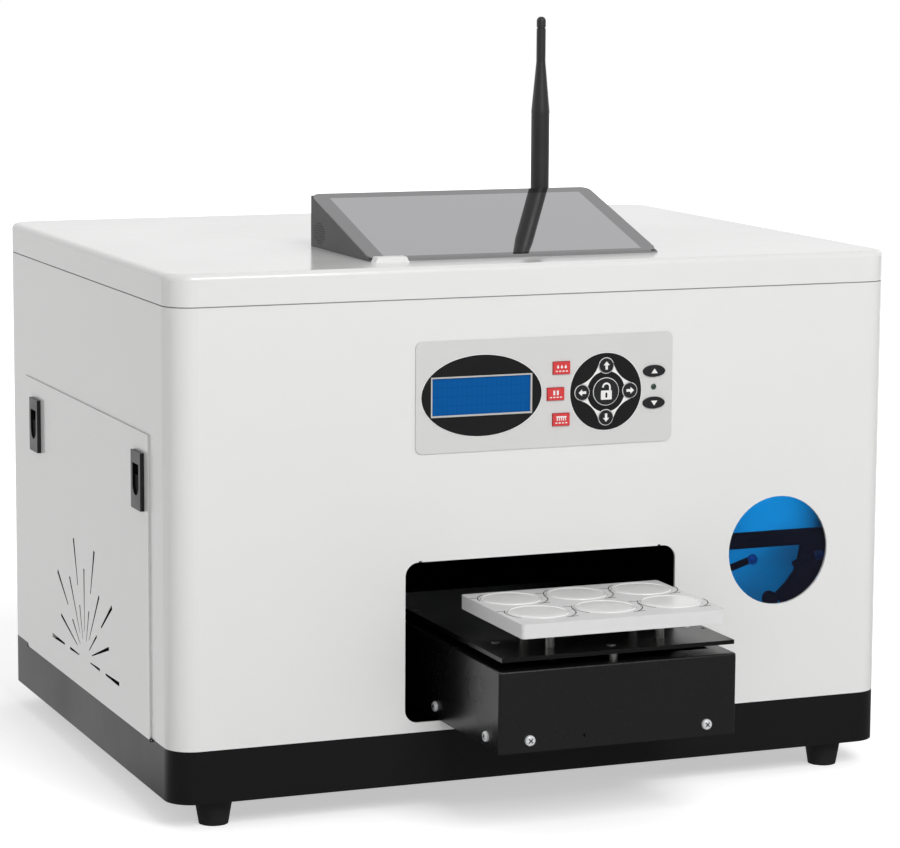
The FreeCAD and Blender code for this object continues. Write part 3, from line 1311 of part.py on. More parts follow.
def make_lift():
    """The motor and screw in the box, the plate with its nut, and the posts pressed into the plate."""
    node("lift_motor", motor("lift_motor", (px, lift_y, motor_top), "-z", d.lift_screw_radius + d.screw_gap))
    screw_low = motor_top - MOTOR_BORE / 2
    node("lift_screw", cylinder("lift_screw_bar", (px, lift_y, screw_low), d.lift_screw_radius,
                                plate_low - LIFT_SCREW_REST - screw_low))
    plate = block("plate_sheet", (px - d.plate_width / 2, plate_front, plate_low),
                  (d.plate_width, d.plate_length, d.plate_thick))
    nut = cylinder("lift_nut", (px, lift_y, plate_low - d.lift_nut_length), d.lift_nut_radius,
                   d.lift_nut_length + d.plate_thick / 2)
    holes = [cylinder("lift_nut_bore", (px, lift_y, plate_low - d.lift_nut_length - 1),
                      d.lift_screw_radius + d.screw_gap, d.lift_nut_length + d.plate_thick + 2)]
    for index, (x, y) in enumerate(PLATE_HOLES):
        holes.append(cylinder("plate_hole_%d" % index, (px + x, plate_front + y, plate_low - 1),
                              size_of(PLATE_HOLE), d.plate_thick + 2))
    node("lift_plate", cut("plate", fused("plate_whole", [plate, nut]), holes))
    posts = []
    for name, y in (("front", box_front + d.guide_inset), ("back", plate_back - d.guide_inset)):
        low = plate_low - d.guide_depth
        posts.append(cylinder("guide_post_" + name, (px, y, low), d.guide_radius, d.guide_depth))
    for index, (x, y) in enumerate(tray_posts()):
        post = cylinder("tray_post_%d" % index, (x, y, plate_top), d.tray_post_radius, d.tray_rise - d.tray_rest)
        pin = cylinder("tray_pin_%d" % index, (x, y, plate_top), d.tray_pin_radius,
                       d.tray_rise + d.tray_pin_length - d.tray_rest)
        posts.append(fused("tray_post_whole_%d" % index, [post, pin]))
    node("lift_posts", grouped("posts", posts))


def make_tray():
    """The white tray with six round pads let into its top."""
    body = new_body("tray_body")
    outline = sketch_on(body, "XY_Plane", "tray_outline", tray_low)
    soft_rectangle(outline, tray_left, tray_front, tray_left + d.tray_width, tray_back, d.tray_corner)
    pad(body, outline, "tray_block", d.tray_thick)
    seats = sketch_on(body, "XY_Plane", "pad_seats", tray_top)
    for x, y in pad_centres():
        circle(seats, x, y, d.pad_radius + PAD_GAP)
    pocket(body, seats, "pad_recesses", d.pad_thick - d.pad_proud)
    pins = sketch_on(body, "XY_Plane", "pin_holes", tray_low)
    for x, y in tray_posts():
        circle(pins, x, y, d.tray_pin_radius + d.tray_pin_gap)
    pocket(body, pins, "pin_bores", d.tray_pin_length + d.tray_rest, reverse=True)
    node("nail_tray", body)
    pads = [cylinder("pad_%d" % index, (x, y, tray_top + d.pad_proud - d.pad_thick), d.pad_radius, d.pad_thick)
            for index, (x, y) in enumerate(pad_centres())]
    node("nail_pads", grouped("pads", pads))


# ---------------------------------------------------------------- print engine

BELT_SPACE = 1.5
HEAD_SHARE = 0.36
supply_left = supply_x - d.supply_width / 2
supply_front = inner_back - d.supply_depth
engine_start = front + d.engine_front
rod_y = front + d.rod_y
carriage_back = rod_y + d.carriage_depth / 2
belt_y = carriage_back + BELT_SPACE
beam_y = belt_y + d.belt_width + BELT_SPACE
beam_z = d.engine_top - d.beam_height
pulley_z = beam_z + d.beam_height / 2
pulley_left = engine_left + d.pulley_inset
pulley_right = engine_right - d.pulley_inset
carriage_low = d.rod_z - d.carriage_height / 2
head_low = carriage_low - d.head_height
belt_inner = d.pulley_radius + d.belt_gap
belt_outer = belt_inner + d.belt_thick
SHAFT = 2.5
SHAFT_GAP = 0.05
TUNNEL_GAP = 1.5
STRAP_WIDTH = 12
JAW_LENGTH = 16
JAW_HEIGHT = 4


def make_cheek():
    """The right cheek: whole above, with a wide notch below so that the stand beside it fits."""
    body = new_body("cheek_right_body")
    outline = sketch_on(body, "YZ_Plane", "cheek_outline", engine_right)
    end = engine_start + d.engine_depth
    notch_back = end - d.cheek_leg
    notch_top = head_low
    polygon(outline, [(engine_start, notch_top), (notch_back, notch_top), (notch_back, base_floor),
                      (end, base_floor), (end, d.engine_top), (engine_start, d.engine_top)])
    pad(body, outline, "cheek_right", d.engine_sheet)
    return body


def make_tunnel():
    """The black sheets beside, above and behind the platform's path, and the strap that ties them to the cheek."""
    low = d.slot_bottom
    wall_height = d.tunnel_top - low
    start = front + d.shell_wall + TUNNEL_GAP
    left = slot_left - TUNNEL_GAP - d.tunnel_sheet
    right = slot_right + TUNNEL_GAP
    wide = right + d.tunnel_sheet - left
    stop = inner_back - d.slide_end + TUNNEL_GAP
    back_left = supply_left + d.supply_width + d.rocker_width * 2
    back_width = right + d.tunnel_sheet - back_left
    roof_depth = rod_y - d.carriage_depth / 2 - start
    return [
        block("tunnel_left", (left, start, low), (d.tunnel_sheet, supply_front - TUNNEL_GAP - start, wall_height)),
        block("tunnel_right", (right, start, low), (d.tunnel_sheet, stop - start, wall_height)),
        block("tunnel_roof", (left, start, d.tunnel_top), (wide, roof_depth, d.tunnel_sheet)),
        block("tunnel_back", (back_left, stop, low), (back_width, d.tunnel_sheet, wall_height)),
        block("tunnel_strap", (engine_left - d.engine_sheet / 2, start + roof_depth - STRAP_WIDTH, d.tunnel_top),
              (left - engine_left + d.engine_sheet, size_of(STRAP_WIDTH), d.tunnel_sheet)),
    ]


def make_engine_frame():
    """Two cheeks standing in the pan, the beam between them with the idler's pin, and the platform's tunnel."""
    left = block("cheek_left", (engine_left - d.engine_sheet, engine_start, base_floor),
                 (d.engine_sheet, d.engine_depth, d.engine_top - base_floor))
    beam = block("engine_beam", (engine_left - d.engine_sheet, beam_y, beam_z),
                 (engine_right - engine_left + d.engine_sheet * 2, d.engine_sheet, d.beam_height))
    pin_start = belt_y + d.belt_width / 2 - d.pulley_width / 2
    pin = cylinder("idler_pin", (pulley_left, pin_start, pulley_z), size_of(SHAFT), beam_y - pin_start + 1, "+y")
    shaft_hole = cylinder("motor_shaft_hole", (pulley_right, beam_y - 1, pulley_z), size_of(SHAFT + SHAFT_GAP),
                          d.engine_sheet + 2, "+y")
    pieces = [left, make_cheek(), beam, pin] + make_tunnel()
    node("engine_frame", cut("frame", fused("frame_whole", pieces), [shaft_hole]))
    node("guide_rod", cylinder("rod", (engine_left, rod_y, d.rod_z), d.rod_radius,
                               engine_right - engine_left, "+x"))


def stadium(name, radius, depth, start):
    """The outline of a belt round its two pulleys, as a solid."""
    run = block(name + "_run", (pulley_left, start, pulley_z - radius),
                (pulley_right - pulley_left, depth, radius * 2))
    ends = [cylinder(name + "_end_%d" % index, (x, start, pulley_z), radius, depth, "+y")
            for index, x in enumerate((pulley_left, pulley_right))]
    return fused(name, [run] + ends)


def make_carriage():
    """The carriage on its rod, the head under it, and the belt drive behind it."""
    x = d.carriage_home - d.carriage_width / 2
    whole = block("carriage_block", (x, rod_y - d.carriage_depth / 2, carriage_low),
                  (d.carriage_width, d.carriage_depth, d.carriage_height))
    jaw_top = pulley_z - belt_outer - d.belt_gap
    jaw = block("belt_jaw", (d.carriage_home - JAW_LENGTH / 2, carriage_back - 1, jaw_top - JAW_HEIGHT),
                (size_of(JAW_LENGTH), belt_y + d.belt_width - carriage_back + 1, size_of(JAW_HEIGHT)))
    bore = cylinder("carriage_bore", (x - 1, rod_y, d.rod_z), d.rod_radius + d.rod_gap, d.carriage_width + 2, "+x")
    node("print_carriage", cut("carriage", fused("carriage_whole", [whole, jaw]), [bore]))
    head_half = d.carriage_width * HEAD_SHARE
    head_depth = d.carriage_depth * HEAD_SHARE
    node("print_head", block("head", (d.carriage_home - head_half, rod_y - head_depth, head_low),
                             (head_half * 2, head_depth * 2, d.head_height)))
    outside = stadium("belt_outside", belt_outer, d.belt_width, belt_y)
    inside = stadium("belt_inside", belt_inner, d.belt_width + 2, belt_y - 1)
    node("carriage_belt", cut("belt", outside, [inside]))
    pulley_start = belt_y + d.belt_width / 2 - d.pulley_width / 2
    drive = cylinder("drive_wheel", (pulley_right, pulley_start, pulley_z), d.pulley_radius, d.pulley_width, "+y")
    shaft = cylinder("drive_shaft", (pulley_right, pulley_start, pulley_z), size_of(SHAFT),
                     beam_y + d.engine_sheet + MOTOR_BORE / 2 - pulley_start, "+y")
    node("drive_pulley", fused("drive_whole", [drive, shaft]))
    idler = cylinder("idler_wheel", (pulley_left, pulley_start, pulley_z), d.pulley_radius, d.pulley_width, "+y")
    hole = cylinder("idler_hole", (pulley_left, pulley_start - 1, pulley_z), size_of(SHAFT + SHAFT_GAP),
                    d.pulley_width + 2, "+y")
    node("idler_pulley", cut("idler_cut", idler, [hole]))
    node("carriage_motor", motor("carriage_motor", (pulley_right, beam_y + d.engine_sheet, pulley_z), "+y",
                                 size_of(SHAFT + SHAFT_GAP)))


cap_top = head_low - d.cap_gap
bar_y = front + d.bar_back
BAR_OVERHANG = 12
bar_left = d.carriage_home - BAR_OVERHANG
bar_end = half_width - d.shell_wall * 2
stand_x = half_width - d.stand_inset
BAR_THICK = 3
COLUMN_INSET = 8
LINK_WIDTH = 10
LINK_DROP = 40
ARM_RADIUS = 2.7
KNOB_RADIUS = 5.5
KNOB_LENGTH = 7
KNOB_SHIFT = 11
KNOB_DROP = 40
KNOB_STEM = 4
KNOB_STEM_LENGTH = 14
LONG_ARM_DROP = 30.5
SHORT_ARM_DROP = 14.5
SHORT_ARM_SHIFT = 8
SHORT_ARM_LENGTH = 22
STAND_EDGE = ((13, -12), (10, -20), (2, -30), (-5, -36), (0, -46), (-18, -50))
STAND_TOP_SHIFT = 16


def make_stand():
    """The black plate standing at the end of the service bar, with its hollowed left edge."""
    body = new_body("service_stand_body")
    outline = sketch_on(body, "XZ_Plane", "service_stand_outline", -bar_y - BAR_THICK)
    top = d.bar_z + d.bar_height / 2
    edge = [(stand_x + u, d.bar_z + v) for u, v in STAND_EDGE]
    polygon(outline, [(stand_x + STAND_TOP_SHIFT, top)] + edge
            + [(stand_x, base_floor), (bar_end, base_floor), (bar_end, top)])
    pad(body, outline, "service_stand", size_of(BAR_THICK))
    return body


def make_cap_station():
    """The parking cap for the head on its column, and the service bar with its arms beside the window."""
    x = d.carriage_home - d.cap_width / 2
    y = rod_y - d.cap_depth / 2
    cap = block("cap_body", (x, y, cap_top - d.cap_height), (d.cap_width, d.cap_depth, d.cap_height))
    column = block("cap_column", (x + COLUMN_INSET, y + COLUMN_INSET, base_floor),
                   (d.cap_width - COLUMN_INSET * 2, d.cap_depth - COLUMN_INSET * 2, cap_top - base_floor - 1))
    bar = block("service_bar", (bar_left, bar_y, d.bar_z), (bar_end - bar_left, size_of(BAR_THICK), d.bar_height))
    hanger = block("service_hanger", (bar_left, bar_y, d.bar_z - LINK_DROP),
                   (size_of(LINK_WIDTH), size_of(BAR_THICK), size_of(LINK_DROP + 1)))
    link = block("service_link", (bar_left, bar_y, d.bar_z),
                 (size_of(LINK_WIDTH), y - bar_y + 1, size_of(BAR_THICK)))
    arm_y = bar_y - ARM_RADIUS / 2
    long_arm = cylinder("service_arm_long", (bar_left + LINK_WIDTH / 2, arm_y, d.bar_z - LONG_ARM_DROP),
                        size_of(ARM_RADIUS), d.arm_length, "arm")
    short_arm = cylinder("service_arm_short", (stand_x + SHORT_ARM_SHIFT, arm_y, d.bar_z - SHORT_ARM_DROP),
                         size_of(ARM_RADIUS), size_of(SHORT_ARM_LENGTH), "arm")
    knob_x = stand_x - KNOB_SHIFT
    knob_z = d.bar_z - KNOB_DROP
    knob = cylinder("service_knob", (knob_x, bar_y + BAR_THICK, knob_z), size_of(KNOB_RADIUS),
                    size_of(KNOB_LENGTH), "-y")
    stem = block("service_knob_stem", (knob_x - KNOB_STEM / 2, bar_y, knob_z - KNOB_STEM_LENGTH),
                 (size_of(KNOB_STEM), size_of(BAR_THICK), size_of(KNOB_STEM_LENGTH)))
    node("cap_station", fused("cap_station_whole",
                              [cap, column, bar, hanger, make_stand(), link, long_arm, short_arm, knob, stem]))


# ---------------------------------------------------------------- ink, electronics, fan, switch

TANKS = 6
tank_start = supply_front - d.tank_gap - d.tank_width - d.tank_pitch * (TANKS - 1)
tank_x = left_face + d.tank_inset
ROCKER_PIVOT = 4
pivot_y = back - ROCKER_PIVOT
CAP_RADIUS = 9
CAP_RISE = 12
FAN_BLADES = 7
BLADE_TILT = 35
BLADE_THICK = 1.6
FAN_PIN = 2
FAN_PIN_GAP = 0.05
FAN_PIN_SHORT = 6
FAN_SPOKE = 3
BLADE_SHORT = 11
GUARD_RINGS = (12, 21, 30)
GUARD_WIRE = 1.4
ROCKER_GAP = 0.35
ROCKER_PIN = 1.5
ROCKER_PIN_GAP = 0.05
ROCKER_DIP = 4.5
ROCKER_TILT = 20
HOUSING_DEPTH = 16
HOUSING_WALL = 3
BOARD_RISE = 8
BOARD_POST_INSET = 6
BOARD_POST_RADIUS = 3
CHIPS = ((20, 24, 18, 18, 3), (52, 20, 14, 14, 3), (18, 80, 30, 10, 9), (62, 70, 22, 30, 12))
INLET_GAP = 0.2
INLET_RIM = 3
INLET_RIM_THICK = 1.5
SOCKET_WIDTH = 22
SOCKET_HEIGHT = 14
SOCKET_DEPTH = 15


def make_tanks():
    """A row of square ink tanks with round caps behind the side door."""
    tanks = []
    for index in range(TANKS):
        y = tank_start + d.tank_pitch * index
        tank = block("tank_%d" % index, (tank_x, y, base_floor), (d.tank_depth, d.tank_width, d.tank_height))
        middle = (tank_x + d.tank_depth / 2, y + d.tank_width / 2, base_floor + d.tank_height - 1)
        cap = cylinder("tank_cap_%d" % index, middle, size_of(CAP_RADIUS), size_of(CAP_RISE + 1))
        tanks.append(fused("tank_whole_%d" % index, [tank, cap]))
    node("ink_tanks", grouped("tanks", tanks))


def make_main_board():
    """The main board on four standoffs, with its larger components."""
    x = engine_right - d.board_width
    y = inner_back - d.board_depth - d.board_back
    sheet_low = base_floor + BOARD_RISE
    pieces = [block("main_board_sheet", (x, y, sheet_low), (d.board_width, d.board_depth, d.board_thick))]
    for side, post_x in enumerate((x + BOARD_POST_INSET, x + d.board_width - BOARD_POST_INSET)):
        for end, post_y in enumerate((y + BOARD_POST_INSET, y + d.board_depth - BOARD_POST_INSET)):
            pieces.append(cylinder("main_standoff_%d_%d" % (side, end), (post_x, post_y, base_floor),
                                   size_of(BOARD_POST_RADIUS), BOARD_RISE + d.board_thick / 2))
    for index, (u, v, wide, deep, high) in enumerate(CHIPS):
        pieces.append(block("main_chip_%d" % index, (x + u, y + v, sheet_low + d.board_thick / 2),
                            (size_of(wide), size_of(deep), high + d.board_thick / 2)))
    node("main_board", fused("main_board_whole", pieces))


def make_supply():
    """The power supply with its inlet and the switch's housing, seen through the shell's back."""
    case = block("supply_case", (supply_left, supply_front, base_floor),
                 (d.supply_width, d.supply_depth, d.supply_height))
    half_inlet = INLET_WIDTH / 2 - INLET_GAP
    inlet_rise = INLET_HEIGHT / 2 - INLET_GAP
    inlet = block("inlet_body", (supply_x - half_inlet, inner_back - 1, inlet_z - inlet_rise),
                  (size_of(half_inlet * 2), d.shell_wall + 2, size_of(inlet_rise * 2)))
    half_rim = INLET_WIDTH / 2 + INLET_RIM
    rim_rise = INLET_HEIGHT / 2 + INLET_RIM
    rim = block("inlet_rim", (supply_x - half_rim, back, inlet_z - rim_rise),
                (size_of(half_rim * 2), size_of(INLET_RIM_THICK), size_of(rim_rise * 2)))
    socket = block("inlet_socket", (supply_x - SOCKET_WIDTH / 2, back - SOCKET_DEPTH, inlet_z - SOCKET_HEIGHT / 2),
                   (size_of(SOCKET_WIDTH), size_of(SOCKET_DEPTH + INLET_RIM_THICK + 1), size_of(SOCKET_HEIGHT)))
    half = d.rocker_width / 2
    radius = d.rocker_height / 2
    wall = size_of(HOUSING_WALL)
    housing = block("switch_housing", (supply_left + d.supply_width - 1, inner_back - HOUSING_DEPTH,
                                       d.rocker_z - radius - wall),
                    (rocker_x + half + wall - supply_left - d.supply_width + 1, size_of(HOUSING_DEPTH),
                     (radius + wall) * 2))
    cavity = cylinder("switch_cavity", (rocker_x - half, pivot_y, d.rocker_z), radius, d.rocker_width, "+x")
    pins = cylinder("switch_pin_bore", (rocker_x - half - wall / 2, pivot_y, d.rocker_z),
                    size_of(ROCKER_PIN + ROCKER_PIN_GAP), d.rocker_width + wall, "+x")
    whole = cut("supply_hollow", fused("supply_whole", [case, inlet, rim, housing]), [cavity, pins, socket])
    node("power_supply", whole)
    rocker_half = half - ROCKER_GAP
    rocker_radius = radius - ROCKER_GAP
    round_part = cylinder("rocker_round", (rocker_x - rocker_half, pivot_y, d.rocker_z), rocker_radius,
                          rocker_half * 2, "+x")
    limit = new_body("rocker_limit_body")
    profile = sketch_on(limit, "YZ_Plane", "rocker_profile", rocker_x - rocker_half)
    dip = pivot_y + ROCKER_DIP
    rise = rocker_radius * math.tan(math.radians(ROCKER_TILT))
    low = d.rocker_z - rocker_radius
    high = d.rocker_z + rocker_radius
    polygon(profile, [(pivot_y - rocker_radius, low), (dip, low), (dip, d.rocker_z),
                      (dip + rise, high), (pivot_y - rocker_radius, high)])
    pad(limit, profile, "rocker_limit", rocker_half * 2)
    rocker = doc.addObject("Part::Common", "rocker_face")
    rocker.Base = round_part
    rocker.Tool = limit
    axle = cylinder("rocker_axle", (rocker_x - half - wall / 2 + ROCKER_GAP, pivot_y, d.rocker_z),
                    size_of(ROCKER_PIN), d.rocker_width + wall - ROCKER_GAP * 2, "+x")
    node("power_switch", fused("rocker_whole", [rocker, axle]))


def ring(name, radius, width, start, depth):
    """A flat ring round the fan's axis."""
    outer = cylinder(name + "_outer", (fan_x, start, fan_z), radius + width / 2, depth, "+y")
    inner = cylinder(name + "_inner", (fan_x, start - 1, fan_z), radius - width / 2, depth + 2, "+y")
    return cut(name, outer, [inner])


def make_fan():
    """A square fan behind a wire guard in the shell's back."""
    start = inner_back - d.fan_depth
    half = d.fan_side / 2
    bore_radius = half - FAN_RIM
    frame = block("fan_block", (fan_x - half, start, fan_z - half), (d.fan_side, d.fan_depth, d.fan_side))
    bore = cylinder("fan_bore", (fan_x, start - 1, fan_z), bore_radius, d.fan_depth + 2, "+y")
    pieces = [cut("fan_ring", frame, [bore])]
    spoke = size_of(FAN_SPOKE)
    for name, length, height in (("flat", d.fan_side - 1, spoke), ("tall", spoke, d.fan_side - 1)):
        pieces.append(block("fan_strut_" + name, (fan_x - length / 2, start, fan_z - height / 2),
                            (length, spoke, height)))
    pieces.append(cylinder("fan_seat", (fan_x, start, fan_z), d.fan_hub, spoke, "+y"))
    pieces.append(cylinder("fan_pin", (fan_x, start, fan_z), size_of(FAN_PIN), d.fan_depth - FAN_PIN_SHORT, "+y"))
    wire = size_of(GUARD_WIRE)
    guard_start = inner_back - wire
    for radius in GUARD_RINGS:
        pieces.append(ring("guard_ring_%d" % radius, size_of(radius), wire, guard_start, wire))
    for name, length, height in (("flat", d.fan_side - 1, wire), ("tall", wire, d.fan_side - 1)):
        pieces.append(block("guard_wire_" + name, (fan_x - length / 2, guard_start, fan_z - height / 2),
                            (length, wire, height)))
    node("cooling_fan", fused("fan_frame", pieces))
    impeller = doc.addObject("Part::Feature", "fan_impeller_shape")
    impeller.Shape = impeller_shape()
    place(impeller, (fan_x, start + spoke + 1, fan_z), "+y")
    node("fan_impeller", impeller)


def impeller_shape():
    """A hub with tilted blades, its axis along its own Z."""
    depth = d.fan_depth.value - BLADE_SHORT
    reach = d.fan_side.value / 2 - FAN_RIM - d.fan_blade_gap.value
    hub = Part.makeCylinder(d.fan_hub.value, depth)
    blades = []
    for index in range(FAN_BLADES):
        inside = d.fan_hub.value - 2
        blade = Part.makeBox(reach - inside, depth, BLADE_THICK,
                             FreeCAD.Vector(inside, -depth / 2, -BLADE_THICK / 2))
        blade.rotate(FreeCAD.Vector(), FreeCAD.Vector(1, 0, 0), BLADE_TILT)
        blade.translate(FreeCAD.Vector(0, 0, depth / 2))
        blade.rotate(FreeCAD.Vector(), FreeCAD.Vector(0, 0, 1), 360 / FAN_BLADES * index)
        blades.append(blade)
    whole = hub.multiFuse(blades)
    slab = Part.makeCylinder(reach, depth)
    axle = Part.makeCylinder(FAN_PIN + FAN_PIN_GAP, depth * 3, FreeCAD.Vector(0, 0, -depth))
    return whole.common(slab).cut(axle).removeSplitter()

# ---------------------------------------------------------------- make everything

make_base()
make_feet()
make_outer_shell()
make_rear_panel()
make_lid()
make_side_door()
make_latches()
make_tablet()
make_antenna()
make_panel()
make_window()
make_hinges()
make_platform()
make_feed()
make_lift()
make_tray()
make_engine_frame()
make_carriage()
make_cap_station()
make_tanks()
make_main_board()
make_supply()
make_fan()

# ---------------------------------------------------------------- check and write


def write_parts():
    """Stop on any failed object or shape, then write one STEP file for each node."""
    doc.recompute()
    failed = [thing.Name for thing in doc.Objects if "Invalid" in thing.State or "Error" in thing.State]
    if failed:
        raise ValueError("failed objects: " + ", ".join(failed))
    for thing in nodes:
        if thing.Shape.isNull() or not thing.Shape.isValid():
            raise ValueError("bad shape: " + thing.Label)
    for thing in nodes:
        thing.Shape.exportStep("parts/%s.step" % thing.Label)
        print("%-22s solids %d volume %.1f" % (thing.Label, len(thing.Shape.Solids), thing.Shape.Volume))


write_parts()
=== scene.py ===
# %% [markdown]
# # A desktop nail art printer
# The printer is a white powder-coated steel case on a black pan. A black platform carries a white tray
# with six round pads out through a slot in the front. A slanted touch screen, an aerial, a keypad with a
# small character display, a round blue window and a service door with a sunburst of vents complete it.
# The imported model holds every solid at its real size. This notebook gives each solid its finish and adds
# the fine pieces that a solid model leaves plain: key symbols, screw heads, pads, speaker holes, lines.

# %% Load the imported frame
import math

import bmesh
import bpy
import numpy as np
from mathutils import Matrix, Vector


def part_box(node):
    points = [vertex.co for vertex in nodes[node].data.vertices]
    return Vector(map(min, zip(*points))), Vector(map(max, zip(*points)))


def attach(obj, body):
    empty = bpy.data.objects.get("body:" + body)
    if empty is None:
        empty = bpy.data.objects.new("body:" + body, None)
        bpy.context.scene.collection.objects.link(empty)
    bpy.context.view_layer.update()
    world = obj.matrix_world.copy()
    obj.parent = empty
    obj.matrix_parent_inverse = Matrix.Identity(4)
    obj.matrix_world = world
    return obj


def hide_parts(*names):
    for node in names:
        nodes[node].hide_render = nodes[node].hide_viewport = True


MM = 0.001
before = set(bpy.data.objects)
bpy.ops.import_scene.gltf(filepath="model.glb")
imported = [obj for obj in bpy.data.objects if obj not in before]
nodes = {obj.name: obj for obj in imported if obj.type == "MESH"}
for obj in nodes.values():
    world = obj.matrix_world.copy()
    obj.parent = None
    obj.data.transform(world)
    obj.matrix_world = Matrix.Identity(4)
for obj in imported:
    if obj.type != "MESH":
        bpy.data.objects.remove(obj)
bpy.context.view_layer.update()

# %% [markdown]
# ## Colours and nodes
# Paint makers give colours as sRGB codes, while the renderer adds light in linear values, so one function
# turns a code into a linear colour. One more function adds a shader node with its settings and links.

# %% Colour and node helpers


def linear(code):
    """sRGB hex to linear colour: a straight line near black, a power of 2.4 above it."""
    srgb = np.array([int(code[i:i + 2], 16) for i in (0, 2, 4)]) / 255
    curve = ((srgb + 0.055) / 1.055) ** 2.4
    return (*np.where(srgb <= 0.04045, srgb / 12.92, curve).tolist(), 1.0)


def add(tree, kind, inputs=None, **settings):
    """Add one node with its settings. An input is a number, a colour or another node's socket."""
    node = tree.nodes.new("ShaderNode" + kind)
    for name, value in settings.items():
        setattr(node, name, value)
    for key, value in (inputs or {}).items():
        socket = node.inputs[key]
        if isinstance(value, bpy.types.NodeSocket):
            tree.links.new(value, socket)
        else:
            socket.default_value = value
    return node


def material(name, colour, roughness, **sockets):
    """A Principled material whose even values stand on the shader's own sockets."""
    made = bpy.data.materials.new(name)
    made.use_nodes = True
    shader = made.node_tree.nodes["Principled BSDF"]
    shader.inputs["Base Color"].default_value = linear(colour)
    shader.inputs["Roughness"].default_value = roughness
    for key, value in sockets.items():
        shader.inputs[key.replace("_", " ")].default_value = value
    made.diffuse_color = linear(colour)
    return made


def inside(made):
    """The material's tree, its shader and a node that gives places on the piece."""
    tree = made.node_tree
    return tree, tree.nodes["Principled BSDF"], add(tree, "TexCoord").outputs["Object"]


# %% [markdown]
# ## Grain, gloss and tint
# No real surface is one flat colour. A coat has a fine ripple from how it levelled, hands leave it a
# little duller in places, and its tint drifts by a shade. Three noises give these: one small for the
# ripple, one broad for the gloss and one broader for the tint.

# %% A worked surface


def worked(name, colour, gloss, tints, grain_mm, depth_mm, patch_mm=70, **sockets):
    """A material with a ripple, a range of roughness and a drift between two tints."""
    made = material(name, colour, sum(gloss) / 2, **sockets)
    tree, shader, place = inside(made)
    ripple = add(tree, "TexNoise", {"Vector": place, "Scale": 1 / (grain_mm * MM), "Detail": 3.0})
    bump = add(tree, "Bump", {"Height": ripple.outputs["Fac"], "Distance": depth_mm * MM})
    tree.links.new(bump.outputs["Normal"], shader.inputs["Normal"])
    patches = add(tree, "TexNoise", {"Vector": place, "Scale": 1 / (patch_mm * MM), "Detail": 4.0})
    wear = add(tree, "MapRange", {"Value": patches.outputs["Fac"], "From Min": 0.3, "From Max": 0.7,
                                  "To Min": gloss[0], "To Max": gloss[1]})
    tree.links.new(wear.outputs["Result"], shader.inputs["Roughness"])
    drift = add(tree, "TexNoise", {"Vector": place, "Scale": 0.6 / (patch_mm * MM), "Detail": 2.0})
    tint = add(tree, "Mix", {0: drift.outputs["Fac"], "A": linear(tints[0]), "B": linear(tints[1])},
               data_type="RGBA")
    tree.links.new(tint.outputs["Result"], shader.inputs["Base Color"])
    return made


# %% [markdown]
# ## Coated steel
# Case, lid and door are folded steel with a gloss polyester powder coat. It flows out to a faint orange
# peel about 3 mm across, and it keeps a clear, slightly soft reflection. The pan and the box are black
# and nearly matt, and the plate under the tray is satin, so it picks up a soft sheen. The sheets round the
# platform's path are dead matt black, partly painted shade: their near-black keeps the slot dark.

# %% Coats
WHITE_COATS = ("white_powder_coat", "door_powder_coat")
white_coat, door_coat = (worked(name, "e6e6e5", (0.16, 0.24), ("e5e5e4", "e8e8e7"), 3.0, 0.012, 160,
                                Coat_Weight=0.25, Coat_Roughness=0.05) for name in WHITE_COATS)
pan_coat = worked("black_powder_coat", "131314", (0.38, 0.46), ("111112", "161617"), 1.2, 0.015, 90,
                  Specular_IOR_Level=0.32)
box_coat = worked("matt_black_enamel", "131313", (0.26, 0.285), ("121212", "151515"), 0.9, 0.002, 60,
                  Specular_IOR_Level=0.72)
plate_coat = worked("satin_black_enamel", "050505", (0.24, 0.28), ("040404", "060606"), 0.9, 0.002, 60,
                    Specular_IOR_Level=0.62)
# Near-black that is partly painted shade: it keeps the slot dark.
matt_black = worked("dead_matt_black", "040404", (0.85, 0.95), ("030303", "060606"), 0.8, 0.01, 40,
                    Specular_IOR_Level=0.1)
print("coats", white_coat.name, pan_coat.name, box_coat.name, plate_coat.name, matt_black.name)

# %% [markdown]
# Some solids show two finishes. The door's vent slots are painted black, as painted shade: the black stands
# in for the shade inside the slots, so they read as black, and it is one solid with the door. A mask finds
# it: everything deeper than a tenth of a millimetre under the door's face, within the vent's own rectangle.
# A field of tiny pits, which cells of noise can draw, gives the black a fine bump.

# %% Door coat


def box_mask(tree, place, **limits):
    """1 inside a box and 0 outside: on each axis named, the distance from the middle is under half."""
    axes = add(tree, "SeparateXYZ", {"Vector": place})
    mask = 1.0
    for axis, (low, high) in limits.items():
        near = add(tree, "Math", {0: axes.outputs[axis], 1: (low + high) / 2, 2: (high - low) / 2},
                   operation="COMPARE")
        mask = add(tree, "Math", {0: near.outputs["Value"], 1: mask}, operation="MULTIPLY").outputs["Value"]
    return mask


def second_finish(made, colour, roughness, specular, **limits):
    """Show another finish inside a box on the piece, and return that finish's shader."""
    tree, shader, place = inside(made)
    other = add(tree, "BsdfPrincipled", {"Base Color": linear(colour), "Roughness": roughness,
                                         "Specular IOR Level": specular})
    parted = add(tree, "MixShader", {0: box_mask(tree, place, **limits), 1: shader.outputs["BSDF"],
                                     2: other.outputs["BSDF"]})
    tree.links.new(parted.outputs["Shader"], tree.nodes["Material Output"].inputs["Surface"])
    return other


